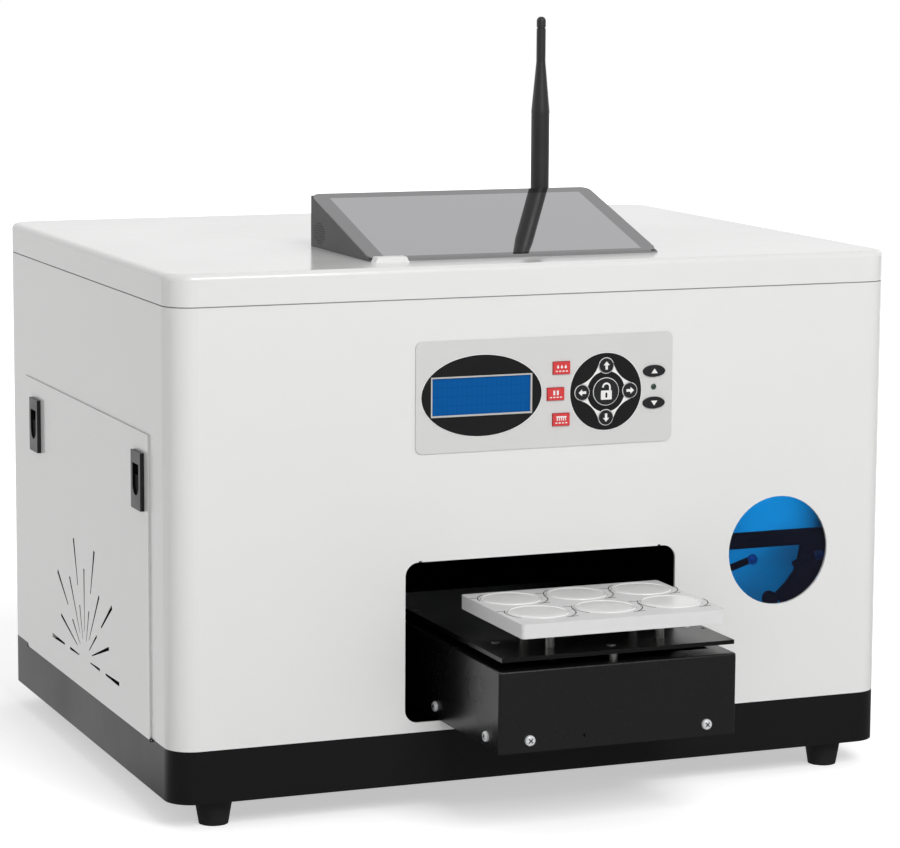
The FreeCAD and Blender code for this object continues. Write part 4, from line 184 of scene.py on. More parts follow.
door_low, door_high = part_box("side_door")
door_middle = (door_low.y + door_high.y) / 2
VENT_SHADE_DEPTH, VENT_SHADE_HALF, VENT_SHADE_TOP = 0.1 * MM, 88 * MM, 112 * MM
PIT_SIZE, PIT_DEPTH = 1.4 * MM, 0.4 * MM
# The black inside the vent is painted shade: it stands in for the shade in the slots.
vent_painted_shade = second_finish(door_coat, "090909", 0.9, 0.1,
                           X=(door_low.x + VENT_SHADE_DEPTH, door_high.x + VENT_SHADE_DEPTH),
                           Y=(door_middle - VENT_SHADE_HALF, door_middle + VENT_SHADE_HALF),
                           Z=(door_low.z - VENT_SHADE_DEPTH, door_low.z + VENT_SHADE_TOP))
tree, _, place = inside(door_coat)
pits = add(tree, "TexVoronoi", {"Vector": place, "Scale": 1 / PIT_SIZE})
shade_pits_bump = add(tree, "Bump", {"Height": pits.outputs["Distance"], "Distance": PIT_DEPTH})
tree.links.new(shade_pits_bump.outputs["Normal"], vent_painted_shade.inputs["Normal"])
print("painted_vent_shade", round(2 * VENT_SHADE_HALF / MM), "x", round(VENT_SHADE_TOP / MM), "mm")

# %% [markdown]
# ## Metals
# Shafts and rails are ground bright steel, with fine lines round or along them. Castings and the print
# head are sand-blasted aluminium. A metal keeps the default IOR: its colour is its reflection.

# %% Metals


def brushed(made, stretch, lines_mm=0.35):
    """Fine lines: noise squeezed in one direction, as grinding leaves it."""
    tree, shader, place = inside(made)
    squeezed = add(tree, "Mapping", {"Vector": place, "Scale": stretch})
    lines = add(tree, "TexNoise", {"Vector": squeezed.outputs["Vector"], "Scale": 1 / (lines_mm * MM),
                                   "Detail": 4.0})
    bump = add(tree, "Bump", {"Height": lines.outputs["Fac"], "Distance": 0.01 * MM})
    tree.links.new(bump.outputs["Normal"], shader.inputs["Normal"])
    shine = add(tree, "MapRange", {"Value": lines.outputs["Fac"], "To Min": 0.18, "To Max": 0.4})
    tree.links.new(shine.outputs["Result"], shader.inputs["Roughness"])
    return made


steel = brushed(material("ground_steel", "c9c8c5", 0.28, Metallic=1.0), (1, 0.05, 1))
shaft_steel = brushed(material("turned_steel", "cfcecb", 0.25, Metallic=1.0), (1, 1, 0.05))
BLASTED = ("blasted_aluminium", "supply_aluminium")
aluminium, supply_case = (worked(name, "b4b5b6", (0.34, 0.46), ("b0b1b2", "babbbc"), 0.6, 0.01, 30,
                                 Metallic=1.0) for name in BLASTED)
motor_steel = worked("black_oxide_steel", "232324", (0.32, 0.45), ("202021", "29292a"), 0.7, 0.01, 30,
                     Metallic=0.6)
zinc = worked("zinc_plate", "e4e6e8", (0.24, 0.36), ("dcdee1", "eceeef"), 0.4, 0.006, 8, Metallic=0.25)
print("metals", steel.name, shaft_steel.name, aluminium.name, motor_steel.name, zinc.name)

# %% [markdown]
# ## Plastics and rubber
# Moulded ABS comes out of its tool with a fine spark-eroded grain. The overlay is a printed polycarbonate
# film with a velvet face. The feet are black nitrile rubber, dull and slightly greyed by dust.

# %% Plastics and rubber
rubber = worked("nitrile_rubber", "202020", (0.68, 0.82), ("1d1d1d", "242424"), 0.8, 0.03, 25,
                Specular_IOR_Level=0.35)
abs_black = worked("moulded_abs", "313132", (0.36, 0.5), ("2f2f30", "353536"), 0.5, 0.012, 30,
                   Specular_IOR_Level=0.45)
latch_abs = worked("latch_abs", "121213", (0.34, 0.44), ("101011", "161617"), 0.5, 0.01, 20,
                   Specular_IOR_Level=0.52)
abs_grey = worked("dark_grey_abs", "3a3b3d", (0.4, 0.52), ("37383a", "3f4042"), 0.6, 0.012, 40)
tablet_abs = worked("tablet_abs", "252527", (0.32, 0.4), ("232325", "29292b"), 0.5, 0.008, 50,
                    Specular_IOR_Level=0.3)
slider_black = worked("slider_nylon", "080808", (0.65, 0.75), ("060606", "0a0a0a"), 0.5, 0.006, 12,
                      Specular_IOR_Level=0.08)
clip_white = worked("white_clip", "f0f0ef", (0.3, 0.4), ("eeeeed", "f2f2f1"), 0.8, 0.008, 20)
overlay_film = worked("overlay_film", "d2d2d1", (0.46, 0.54), ("d0d0cf", "d5d5d4"), 0.35, 0.006, 60)
inlay_black = worked("black_print", "1f1f21", (0.36, 0.48), ("1d1d1f", "232323"), 0.35, 0.005, 25,
                     Specular_IOR_Level=0.12)
key_film = worked("key_film", "2a2a2c", (0.38, 0.46), ("28282a", "2e2e2f"), 0.35, 0.005, 12,
                  Specular_IOR_Level=0.15)
red_film = worked("red_key_film", "d44244", (0.4, 0.48), ("d03e40", "d84648"), 0.35, 0.005, 10,
                  Specular_IOR_Level=0.15)
white_ink = worked("white_ink", "e9e9e8", (0.4, 0.5), ("e6e6e5", "ecece9"), 0.4, 0.004, 10)
print("plastics", rubber.name, abs_black.name, overlay_film.name)

# %% [markdown]
# The power supply's case is aluminium, and its mains inlet is black plastic. Both are one solid, so a mask
# parts them: the inlet is what lies near the back wall, inside the inlet's own rectangle.

# %% Power supply


def face_middle(name):
    """Middle of a node as seen from the front, (x, z), and the y of its front face."""
    low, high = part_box(name)
    return np.array([(low.x + high.x) / 2, (low.z + high.z) / 2]), low.y


supply_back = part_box("power_supply")[1].y
INLET_FROM_ROCKER, INLET_DEEP = 80 * MM, 17 * MM
INLET_HALF_WIDTH, INLET_HALF_HEIGHT = 17.3 * MM, 13.3 * MM
rocker_middle = face_middle("power_switch")[0]
inlet_x, inlet_z = rocker_middle - (INLET_FROM_ROCKER, 0)
second_finish(supply_case, "222223", 0.45, 0.5,
              X=(inlet_x - INLET_HALF_WIDTH, inlet_x + INLET_HALF_WIDTH),
              Y=(supply_back - INLET_DEEP, supply_back + INLET_DEEP),
              Z=(inlet_z - INLET_HALF_HEIGHT, inlet_z + INLET_HALF_HEIGHT))
print("inlet at", round(inlet_x / MM, 1), round(inlet_z / MM, 1), "mm")

# %% [markdown]
# ## Tray and pads
# The tray is machined from white acetal, which scatters a little light. Each pad is a pressed disc of
# milky acrylic with a raised rim that catches a highlight. White scatters red, green and blue alike, so
# the scattering radius is the same for all three.

# %% Acetal and acrylic
acetal = worked("white_acetal", "d9d9d9", (0.36, 0.46), ("d7d7d7", "dcdcdc"), 0.7, 0.008, 40,
                Subsurface_Weight=0.05, Subsurface_Scale=1.5 * MM, Subsurface_Radius=(1, 1, 1), IOR=1.48)
milky = worked("milky_acrylic", "f1f1f0", (0.16, 0.26), ("efefee", "f3f3f2"), 2.0, 0.008, 20,
               Subsurface_Weight=0.15, Subsurface_Scale=1.5 * MM, Subsurface_Radius=(1, 1, 1), IOR=1.49)
print("tray", acetal.name, milky.name)

# %% [markdown]
# ## The touch screen
# Behind its cover glass a switched-off screen is a stack of thin layers that throws back about a third of
# the light at this slant, so it works as a dim mirror. The black border print throws back less. A mask on
# the place along the width and up the slope parts the two, with a soft line between them. The front edge
# of glass and case is a thin grey lip of painted highlight, standing in for the light the glass edge
# catches: what lies within a third of a millimetre of the front.

# %% Touch screen glass
screen_low, screen_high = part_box("tablet_glass")
SIDE_BORDER, FRONT_BORDER, BACK_BORDER = 11 * MM, 3.5 * MM, 9 * MM
SCREEN_SOFTNESS = 0.9 * MM
LIP_DEPTH = 0.35 * MM


def between(tree, value, low, high, softness):
    """1 between two limits and 0 outside them, with a soft step at each."""
    rise = add(tree, "MapRange", {"Value": value, "From Min": low, "From Max": low + softness},
               interpolation_type="SMOOTHSTEP")
    fall = add(tree, "MapRange", {"Value": value, "From Min": high, "From Max": high - softness},
               interpolation_type="SMOOTHSTEP")
    return add(tree, "Math", {0: rise.outputs["Result"], 1: fall.outputs["Result"]},
               operation="MULTIPLY").outputs["Value"]


screen_glass = material("screen_glass", "8a8a8c", 0.035, Metallic=0.9)
tree, shader, place = inside(screen_glass)
axes = add(tree, "SeparateXYZ", {"Vector": place})
across = between(tree, axes.outputs["X"], screen_low.x + SIDE_BORDER, screen_high.x - SIDE_BORDER,
                 SCREEN_SOFTNESS)
up_slope = between(tree, axes.outputs["Y"], screen_low.y + FRONT_BORDER, screen_high.y - BACK_BORDER,
                   SCREEN_SOFTNESS)
lit = add(tree, "Math", {0: across, 1: up_slope}, operation="MULTIPLY")
smears = add(tree, "TexNoise", {"Vector": place, "Scale": 1 / (45 * MM), "Detail": 3.0})
smeared = add(tree, "MapRange", {"Value": smears.outputs["Fac"], "To Min": 0.02, "To Max": 0.055})
tint = add(tree, "Mix", {0: lit.outputs["Value"], "A": linear("717173"), "B": linear("9e9ea0")},
           data_type="RGBA")
tree.links.new(tint.outputs["Result"], shader.inputs["Base Color"])
tree.links.new(smeared.outputs["Result"], shader.inputs["Roughness"])
# The grey front lip is painted highlight for the light on the glass edge.
for highlit in (screen_glass, tablet_abs):
    second_finish(highlit, "868687", 0.55, 0.3, Y=(screen_low.y - LIP_DEPTH, screen_low.y + LIP_DEPTH))
print("screen", [round((b - a) / MM) for a, b in zip(screen_low, screen_high)], "mm")

# %% [markdown]
# ## The character display
# A blue negative display shows an even blue field when it is powered with no text: the backlight shines
# through the dots' cells. Each character has its own cell, and the gaps between cells are a shade darker.

# %% Character display glass
lcd_low, lcd_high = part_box("lcd_glass")
CELLS_ACROSS, CELLS_DOWN = 20, 4
lcd_blue = material("lcd_blue", "07508f", 0.3, Specular_IOR_Level=0.06,
                    Emission_Color=linear("0752a0"), Emission_Strength=0.12)
tree, shader, place = inside(lcd_blue)
cell = add(tree, "Mapping", {"Vector": place, "Scale": (CELLS_ACROSS / (lcd_high.x - lcd_low.x), 1,
                                                        CELLS_DOWN / (lcd_high.z - lcd_low.z))})
steps = add(tree, "VectorMath", {0: cell.outputs["Vector"]}, operation="FRACTION")
step_axes = add(tree, "SeparateXYZ", {"Vector": steps.outputs["Vector"]})
GAP_X, SOFT_X, GAP_Z, SOFT_Z = 0.04, 0.06, 0.03, 0.05
cell_x = between(tree, step_axes.outputs["X"], GAP_X, 1 - GAP_X, SOFT_X)
cell_z = between(tree, step_axes.outputs["Z"], GAP_Z, 1 - GAP_Z, SOFT_Z)
filled = add(tree, "Math", {0: cell_x, 1: cell_z}, operation="MULTIPLY")
tint = add(tree, "Mix", {0: filled.outputs["Value"], "A": linear("064a86"), "B": linear("07508f")},
           data_type="RGBA")
tree.links.new(tint.outputs["Result"], shader.inputs["Base Color"])
frame_metal = worked("display_frame", "cfcdc9", (0.3, 0.4), ("cac8c4", "d5d3cf"), 0.4, 0.005, 12,
                     Metallic=0.15)
print("display cells", CELLS_ACROSS, "x", CELLS_DOWN)

# %% [markdown]
# ## The blue window
# The pane is cast acrylic dyed blue. Light that crosses it takes the dye's colour, so it is a see-through
# shader with the dye's tint, under a thin clear gloss. What stands behind it stays visible.

# %% Dyed acrylic
window_blue = bpy.data.materials.new("dyed_blue_acrylic")
window_blue.use_nodes = True
tree, shader, place = inside(window_blue)
shader.inputs["Base Color"].default_value = linear("6a6474")
shader.inputs["Roughness"].default_value = 0.06
shader.inputs["IOR"].default_value = 1.49
through = add(tree, "BsdfTransparent", {"Color": linear("35c1f2")})
streaks = add(tree, "TexNoise", {"Vector": place, "Scale": 1 / (30 * MM), "Detail": 2.0})
body_share = add(tree, "MapRange", {"Value": streaks.outputs["Fac"], "To Min": 0.045, "To Max": 0.065})
mixed = add(tree, "MixShader", {0: body_share.outputs["Result"], 1: through.outputs["BSDF"],
                                2: shader.outputs["BSDF"]})
tree.links.new(mixed.outputs["Shader"], tree.nodes["Material Output"].inputs["Surface"])
print("window", window_blue.name)

# %% [markdown]
# ## Boards and belt
# Circuit boards are green solder mask over copper tracks, and the chips and plugs that stand on the main
# board are black. The belt is black polyurethane. Its teeth are drawn 4 mm apart, twice as far as they
# are, so that they show. A wave texture repeats every pi / (10 scale), which gives the scale of a pitch.

# %% Boards and belt


def wave_scale(pitch):
    """Scale of a wave texture that repeats every pitch: pi / (10 pitch)."""
    return math.pi / (10 * pitch)


CHIPS_FROM, CHIPS_TO, TRACK_PITCH = 11 * MM, 60 * MM, 4 * MM
circuit = material("solder_mask", "12572f", 0.35)
tree, shader, place = inside(circuit)
tracks = add(tree, "TexVoronoi", {"Vector": place, "Scale": 1 / TRACK_PITCH, "Randomness": 0.25},
             feature="DISTANCE_TO_EDGE")
edge = add(tree, "MapRange", {"Value": tracks.outputs["Distance"], "From Min": 0.06, "From Max": 0.1})
green = add(tree, "Mix", {0: edge.outputs["Result"], "A": linear("2b7a49"), "B": linear("12572f")},
            data_type="RGBA")
board_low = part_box("main_board")[0].z
chips = box_mask(tree, place, Z=(board_low + CHIPS_FROM, board_low + CHIPS_TO))
board_tint = add(tree, "Mix", {0: chips, "A": green.outputs["Result"], "B": linear("1a1a1b")},
                 data_type="RGBA")
tree.links.new(board_tint.outputs["Result"], shader.inputs["Base Color"])

TOOTH_PITCH, TOOTH_DEPTH = 4 * MM, 0.3 * MM
belt_black = material("toothed_belt", "1a1a1a", 0.55)
tree, shader, place = inside(belt_black)
teeth = add(tree, "TexWave", {"Vector": place, "Scale": wave_scale(TOOTH_PITCH)}, bands_direction="X")
bump = add(tree, "Bump", {"Height": teeth.outputs["Fac"], "Distance": TOOTH_DEPTH})
tree.links.new(bump.outputs["Normal"], shader.inputs["Normal"])
print("belt teeth", round(TOOTH_PITCH / MM), "mm apart")

# %% [markdown]
# ## Ink tanks
# The tanks are natural polyethylene, through which the ink's colour shows up to its level. Along the row a
# ramp with hard steps gives each tank its ink, and above the level the plastic's own white takes over. The
# screw caps have their ink's colour again.

# %% Ink tanks
tank_low, tank_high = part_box("ink_tanks")
INK_COLOURS = ("1b1b1c", "0d7fb5", "b3226b", "d9b51c", "e8e8e6", "e3e3e1")
INK_LEVEL, LEVEL_SOFTNESS, CAPS_FROM, TANK_GAP = 62 * MM, 2 * MM, 95.2 * MM, 4 * MM
tank_plastic = material("natural_polyethylene", "d7d7d2", 0.4, Subsurface_Weight=0.1)
tree, shader, place = inside(tank_plastic)
axes = add(tree, "SeparateXYZ", {"Vector": place})
along = add(tree, "MapRange", {"Value": axes.outputs["Y"], "From Min": tank_low.y,
                               "From Max": tank_high.y + TANK_GAP})
ramp = add(tree, "ValToRGB", {"Fac": along.outputs["Result"]})
ramp.color_ramp.interpolation = "CONSTANT"
stops = ramp.color_ramp.elements
for index in range(1, len(INK_COLOURS)):
    stops.new(index / len(INK_COLOURS))
for stop, code in zip(stops, (*INK_COLOURS, INK_COLOURS[-1])):
    stop.color = linear(code)
level = add(tree, "MapRange", {"Value": axes.outputs["Z"], "From Min": tank_low.z + INK_LEVEL,
                               "From Max": tank_low.z + INK_LEVEL + LEVEL_SOFTNESS})
cap = add(tree, "Math", {0: axes.outputs["Z"], 1: tank_low.z + CAPS_FROM}, operation="GREATER_THAN")
empty = add(tree, "Math", {0: level.outputs["Result"], 1: cap.outputs["Value"]}, operation="SUBTRACT",
            use_clamp=True)
shown = add(tree, "Mix", {0: empty.outputs["Value"], "A": ramp.outputs["Color"], "B": linear("d7d7d2")},
            data_type="RGBA")
tree.links.new(shown.outputs["Result"], shader.inputs["Base Color"])
print("inks", len(INK_COLOURS))

# %% [markdown]
# ## Dress the solids
# Every solid keeps its shape and takes its finish here.

# %% Finishes of the solids
finishes = {
    white_coat: ["outer_shell", "rear_panel", "lid_cover"],
    door_coat: ["side_door"],
    pan_coat: ["base_pan"],
    box_coat: ["platform_cover", "platform_chassis"],
    plate_coat: ["lift_plate"],
    matt_black: ["engine_frame", "cap_station"],
    steel: ["slide_rails", "slide_blocks", "hinge_case_leaves", "hinge_lid_leaves", "guide_rod",
            "feed_screw"],
    zinc: ["platform_screws"],
    shaft_steel: ["lift_posts", "lift_screw"],
    aluminium: ["print_head", "drive_pulley", "idler_pulley"],
    supply_case: ["power_supply"],
    motor_steel: ["feed_motor", "lift_motor", "carriage_motor"],
    rubber: ["rubber_feet"],
    latch_abs: ["latch_frames"],
    abs_black: ["antenna_base", "antenna_mast", "cooling_fan", "fan_impeller", "power_switch"],
    slider_black: ["latch_slider_front", "latch_slider_rear"],
    abs_grey: ["print_carriage"],
    tablet_abs: ["tablet_case"],
    screen_glass: ["tablet_glass"],
    clip_white: ["tablet_clip"],
    overlay_film: ["panel_overlay"],
    inlay_black: ["panel_inlays"],
    key_film: ["key_in", "key_out", "key_left", "key_right", "key_unlock", "key_up", "key_down"],
    red_film: ["key_nozzle", "key_pause", "key_clean"],
    frame_metal: ["lcd_frame"],
    lcd_blue: ["lcd_glass"],
    circuit: ["control_board", "main_board"],
    window_blue: ["window_pane"],
    acetal: ["nail_tray"],
    milky: ["nail_pads"],
    belt_black: ["carriage_belt"],
    tank_plastic: ["ink_tanks"],
}
for finish, names in finishes.items():
    for name in names:
        nodes[name].data.materials.clear()
        nodes[name].data.materials.append(finish)
bare = sorted(set(nodes) - {name for names in finishes.values() for name in names})
print("nodes without a finish:", bare)

# %% [markdown]
# ## Mesh helpers
# A piece is a list of shapes. Each shape is a grid of points worked out as whole arrays, either a profile
# turned round an axis, a profile carried along a path, or an outline with a thickness.

# %% Shapes


def grid(points, wrap_u=False, wrap_v=False):
    """A sheet of four-sided faces over a grid of points: each face joins neighbours in both directions."""
    rows, columns = points.shape[:2]
    index = np.arange(rows * columns).reshape(rows, columns)
    if wrap_u:
        index = np.vstack([index, index[:1]])
    if wrap_v:
        index = np.hstack([index, index[:, :1]])
    faces = np.stack([index[:-1, :-1], index[:-1, 1:], index[1:, 1:], index[1:, :-1]], -1).reshape(-1, 4)
    return points.reshape(-1, 3), faces.tolist()


def turned(profile, centre, axis="z", turns=48):
    """A profile of (radius, height) turned round an axis: x = r cos a, y = r sin a, z = height. A minus
    before the axis turns the heights the other way."""
    profile = np.asarray(profile, float)
    angle = np.linspace(0, 2 * math.pi, turns, endpoint=False)
    radius, height = profile[:, :1], profile[:, 1:]
    points = np.stack([radius * np.cos(angle), radius * np.sin(angle), height + 0 * angle], -1)
    points = points[..., {"x": (2, 0, 1), "y": (0, 2, 1), "z": (0, 1, 2)}[axis[-1]]]
    if axis[0] == "-":
        points[..., "xyz".index(axis[-1])] *= -1
    return grid(points * MM + np.asarray(centre), wrap_v=True)


def carried(path, profile, closed=False, facing=(0, -1, 0)):
    """A closed profile carried along a path: each point is the path's point, plus the profile's first
    number times the sideways direction, plus its second times the facing direction."""
    path = np.asarray(path, float)
    facing = np.asarray(facing, float)
    ahead = np.roll(path, -1, 0) - np.roll(path, 1, 0) if closed else np.gradient(path, axis=0)
    sideways = np.cross(ahead, facing)
    sideways /= np.linalg.norm(sideways, axis=1, keepdims=True)
    profile = np.asarray(profile, float) * MM
    points = path[:, None] + profile[None, :, :1] * sideways[:, None] + profile[None, :, 1:] * facing
    points, faces = grid(points, wrap_u=closed, wrap_v=True)
    if not closed:
        count = len(profile)
        faces += [list(range(count)), list(range(len(points) - 1, len(points) - count - 1, -1))]
    return points, faces


def prism(outline, thickness):
    """A flat outline and its copy, moved by the thickness: sides join them, and each closes one end."""
    outline = np.asarray(outline, float)
    count = len(outline)
    start = np.arange(count)
    following = np.roll(start, -1)
    sides = np.stack([start, following, following + count, start + count], -1).tolist()
    ends = [list(range(count))[::-1], list(range(count, 2 * count))]
    return np.vstack([outline, outline + np.asarray(thickness)]), sides + ends


def on_face(points, face_y):
    """Points of (x, z) as places on a face at that y."""
    points = np.asarray(points, float)
    return np.column_stack([points[:, 0], np.full(len(points), face_y), points[:, 1]])


def plate(outline, face_y, thick):
    """An outline of (x, z) with a thickness towards the back."""
    return prism(on_face(outline, face_y), (0, thick, 0))


def strip(width_mm, height_mm):
    """Profile of a flat strip: its width lies on the surface and its height stands out from it."""
    half = width_mm / 2
    return [(-half, 0), (half, 0), (half, height_mm), (-half, height_mm)]


def piece(name, shapes, finish, body, smooth=True):
    """One object from a list of shapes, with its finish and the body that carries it."""
    mesh = bpy.data.meshes.new(name)
    starts = np.cumsum([0] + [len(points) for points, _ in shapes])
    faces = [[int(start) + i for i in face] for start, (_, some) in zip(starts, shapes) for face in some]
    mesh.from_pydata(np.vstack([points for points, _ in shapes]).tolist(), [], faces)
    mesh.validate()
    made = bpy.data.objects.new(name, mesh)
    bpy.context.scene.collection.objects.link(made)
    mesh.materials.append(finish)
    turn_outwards(made)
    if smooth:
        mesh.shade_smooth()
        mesh.set_sharp_from_angle(angle=math.radians(35))
    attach(made, body)
    return made


def turn_outwards(made):
    """Merge the points where a turned profile meets its axis, and turn every face outwards."""
    worker = bmesh.new()
    worker.from_mesh(made.data)
    bmesh.ops.remove_doubles(worker, verts=worker.verts, dist=1e-6)
    bmesh.ops.recalc_face_normals(worker, faces=worker.faces)
    worker.to_mesh(made.data)
    worker.free()


def arc(centre, radius, start, stop, count=24):
    """Points of (x, z) round a centre: centre + radius (cos, sin), with angles in degrees."""
    angle = np.radians(np.linspace(start, stop, count))
    return np.column_stack([centre[0] + radius * np.cos(angle), centre[1] + radius * np.sin(angle)])


print("helpers ready")

# %% [markdown]
# ## Key symbols
# A membrane keypad is printed before it is embossed, so its symbols are a thin film of ink on each key.
# They move with the key, so each rides on its key's body. The symbols are the plain ones any machine
# uses: arrows for the platform and carriage, a padlock for the lock, drops, two bars and a wiper.

# %% Ink marks
INK_MM = 0.06
INK = INK_MM * MM


def stroke(points, face_y, width_mm, closed=False, facing=(0, -1, 0)):
    """An inked line of even width along a path on a face."""
    return carried(on_face(points, face_y), strip(width_mm, INK_MM), closed, facing)


def turned_outline(points, middle, degrees):
    """An outline in millimetres round (0, 0), turned and moved to a middle in metres."""
    angle = math.radians(degrees)
    turn = np.array([[math.cos(angle), math.sin(angle)], [-math.sin(angle), math.cos(angle)]])
    return np.asarray(points, float) @ turn * MM + middle


ARROW = [(0, 3.1), (2.5, 0.3), (0.95, 0.3), (0.95, -2.9), (-0.95, -2.9), (-0.95, 0.3), (-2.5, 0.3)]
TRIANGLE = [(0, 1.9), (2.6, -1.6), (-2.6, -1.6)]
SIGNS = (("key_in", ARROW, 0), ("key_out", ARROW, 180), ("key_left", ARROW, 90), ("key_right", ARROW, -90),
         ("key_up", TRIANGLE, 0), ("key_down", TRIANGLE, 180))
for name, outline, degrees in SIGNS:
    middle, face = face_middle(name)
    marks = [plate(turned_outline(outline, middle, degrees), face - INK, INK)]
    piece(name + "_symbol", marks, white_ink, name + "_cap", smooth=False)
print("arrow marks made")

# %% [markdown]
# The lock key carries an open padlock: a body with a keyhole and a shackle whose left leg hangs free.

# %% Padlock


def rounded_box(width, height, radius, middle=(0, 0)):
    """Outline of a rectangle with quarter-round corners, anticlockwise from the lower right."""
    across, up = width / 2 - radius, height / 2 - radius
    corners = [((across, -up), -90), ((across, up), 0), ((-across, up), 90), ((-across, -up), 180)]
    return np.vstack([arc(np.add(middle, corner), radius, start, start + 90, 5)
                      for corner, start in corners])


LOCK_BODY = rounded_box(8.6, 6.7, 0.6, (0, -2.5))
KEYHOLE = rounded_box(1.5, 3.6, 0.5, (0, -2.6))
SHACKLE_RADIUS, SHACKLE_LINE = 2.75, 1.3
SHACKLE = np.vstack([[(-SHACKLE_RADIUS, 3.0)], arc((0, 3.2), SHACKLE_RADIUS, 180, 0, 16),
                     [(SHACKLE_RADIUS, 0.6)]])
lock_middle, lock_face = face_middle("key_unlock")
shackle = stroke(turned_outline(SHACKLE, lock_middle, 0), lock_face, SHACKLE_LINE)
lock_body = plate(turned_outline(LOCK_BODY, lock_middle, 0), lock_face - INK, INK)
piece("key_unlock_symbol", [lock_body, shackle], white_ink, "key_unlock_cap", smooth=False)
keyhole = plate(turned_outline(KEYHOLE, lock_middle, 0), lock_face - 1.5 * INK, INK)
piece("key_unlock_keyhole", [keyhole], key_film, "key_unlock_cap", smooth=False)
print("padlock made")

# %% [markdown]
# The red keys carry one sign above a row of dashes: three drops for the nozzle test, two bars for the
# pause and a wiper for cleaning. They are small, so a few strokes each are enough.

# %% Signs of the red keys
DASH_HALF, DASH_LOW, DASH_LINE, BRISTLE_LINE = 0.8, -2.35, 0.85, 0.75
DASHES = [[(x - DASH_HALF, DASH_LOW), (x + DASH_HALF, DASH_LOW)] for x in (-3.9, -1.3, 1.3, 3.9)]
BRISTLES = [[(x, 1.3), (x, -0.7)] for x in (-3.2, -1.6, 0, 1.6, 3.2)]


def drop(x, z):
    """A falling drop: a round belly under a point."""
    return np.vstack([[(x, z + 1.5)], arc((x, z - 0.35), 0.85, 30, -210, 14)])


red_signs = {
    "key_nozzle": ([drop(x, 0.9) for x in (-3, 0, 3)], []),
    "key_pause": ([rounded_box(1.5, 3.3, 0.2, (x, 0.9)) for x in (-1.4, 1.4)], []),
    "key_clean": ([rounded_box(8.0, 1.1, 0.2, (0, 2.0))], BRISTLES),
}
for name, (shapes, strokes) in red_signs.items():
    middle, face = face_middle(name)
    marks = [plate(turned_outline(shape, middle, 0), face - INK, INK) for shape in shapes]
    marks += [stroke(turned_outline(line, middle, 0), face, BRISTLE_LINE) for line in strokes]
    marks += [stroke(turned_outline(line, middle, 0), face, DASH_LINE) for line in DASHES]
    piece(name + "_symbol", marks, white_ink, name + "_cap", smooth=False)
print("red keys signed")

# %% [markdown]
# ## Lines on the dial
# A white line circles each round key. Between neighbouring keys stands a curved web: its inner edge is a
# circle round the dial's middle, and its outer edge is an arc that touches both key circles. The arc's
# centre lies on the diagonal, at the distance where both touches hold at once.

# %% Dial lines
inlays_low, inlays_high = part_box("panel_inlays")
dial_middle = (face_middle("key_left")[0] + face_middle("key_right")[0]) / 2
dial_face = inlays_low.y
HIDDEN_RIM, RING_GAP, RING_LINE = 0.55, 0.05, 0.6
reach = np.linalg.norm(face_middle("key_right")[0] - dial_middle) / MM


def ring_round(name):
    """Radius of the line round a key in millimetres: the cap is smaller than its rim behind the film."""
    low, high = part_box(name)
    return (high.x - low.x) / 2 / MM - HIDDEN_RIM + RING_GAP + RING_LINE / 2


ring_radius = ring_round("key_left")
WEB_INNER, WEB_WAIST = 14.9, 0.9


def ring(middle, radius_mm):
    """A closed circle of line on the dial."""
    circle = arc(middle, radius_mm * MM, 0, 360, 65)[:-1]
    return stroke(circle, dial_face, RING_LINE, closed=True)


def web(degrees):
    """The web between two keys, drawn in one quarter and turned to its place."""
    waist = WEB_INNER + WEB_WAIST
    edge = ring_radius + RING_LINE / 2
    away = ((waist - edge) ** 2 - reach ** 2) / (2 * (waist - edge) - math.sqrt(2) * reach)
    corner = np.array([away, away]) / math.sqrt(2)
    touch = math.degrees(math.atan2(corner[1], corner[0] - reach))
    crossing = math.acos((WEB_INNER ** 2 + reach ** 2 - ring_radius ** 2) / (2 * WEB_INNER * reach))
    inner = math.degrees(crossing)
    meet = math.degrees(math.atan2(WEB_INNER * math.sin(crossing), WEB_INNER * math.cos(crossing) - reach))
    outline = np.vstack([arc(corner, away - waist, 180 + touch, 270 - touch, 20),
                         arc((0, reach), ring_radius, 90 - touch, 90 - meet, 8),
                         arc((0, 0), WEB_INNER, 90 - inner, inner, 20),
                         arc((reach, 0), ring_radius, meet, touch, 8)])
    return plate(turned_outline(outline, dial_middle, degrees), dial_face - INK, INK)


ROUND_KEYS = ("key_in", "key_out", "key_left", "key_right")
dial_lines = [ring(face_middle(name)[0], ring_radius) for name in ROUND_KEYS]
dial_lines.append(ring(dial_middle, ring_round("key_unlock")))
dial_lines += [web(quarter) for quarter in (0, 90, 180, 270)]
piece("dial_lines", dial_lines, white_ink, "case", smooth=False)
print("dial", round(reach, 1), "mm to the keys")

# %% [markdown]
# A hairline of bare film shows round each black print, where print and background were pulled apart in
# the press. The status lamp between the two oval keys is a smoked dome.

# %% Print edges and lamp
white_halo = worked("bare_film_edge", "efefee", (0.45, 0.55), ("ededec", "f1f1f0"), 0.4, 0.004, 20)


def oval(middle, across, up, count=96):
    """An oval round a middle: x = across cos a, z = up sin a."""
    angle = np.linspace(0, 2 * math.pi, count, endpoint=False)
    return np.column_stack([middle[0] + across * np.cos(angle), middle[1] + up * np.sin(angle)])


film_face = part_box("panel_overlay")[0].y
display_middle = face_middle("lcd_frame")[0]
EDGE, EDGE_LINE = 0.3 * MM, 0.5
display_half = (display_middle[0] - inlays_low.x + EDGE, inlays_high.z - display_middle[1] + EDGE)
dial_half = inlays_high.x - dial_middle[0] + EDGE
edges = (oval(display_middle, *display_half), oval(dial_middle, dial_half, dial_half))
halos = [stroke(edge, film_face, EDGE_LINE, closed=True) for edge in edges]
piece("print_edges", halos, white_halo, "case", smooth=False)

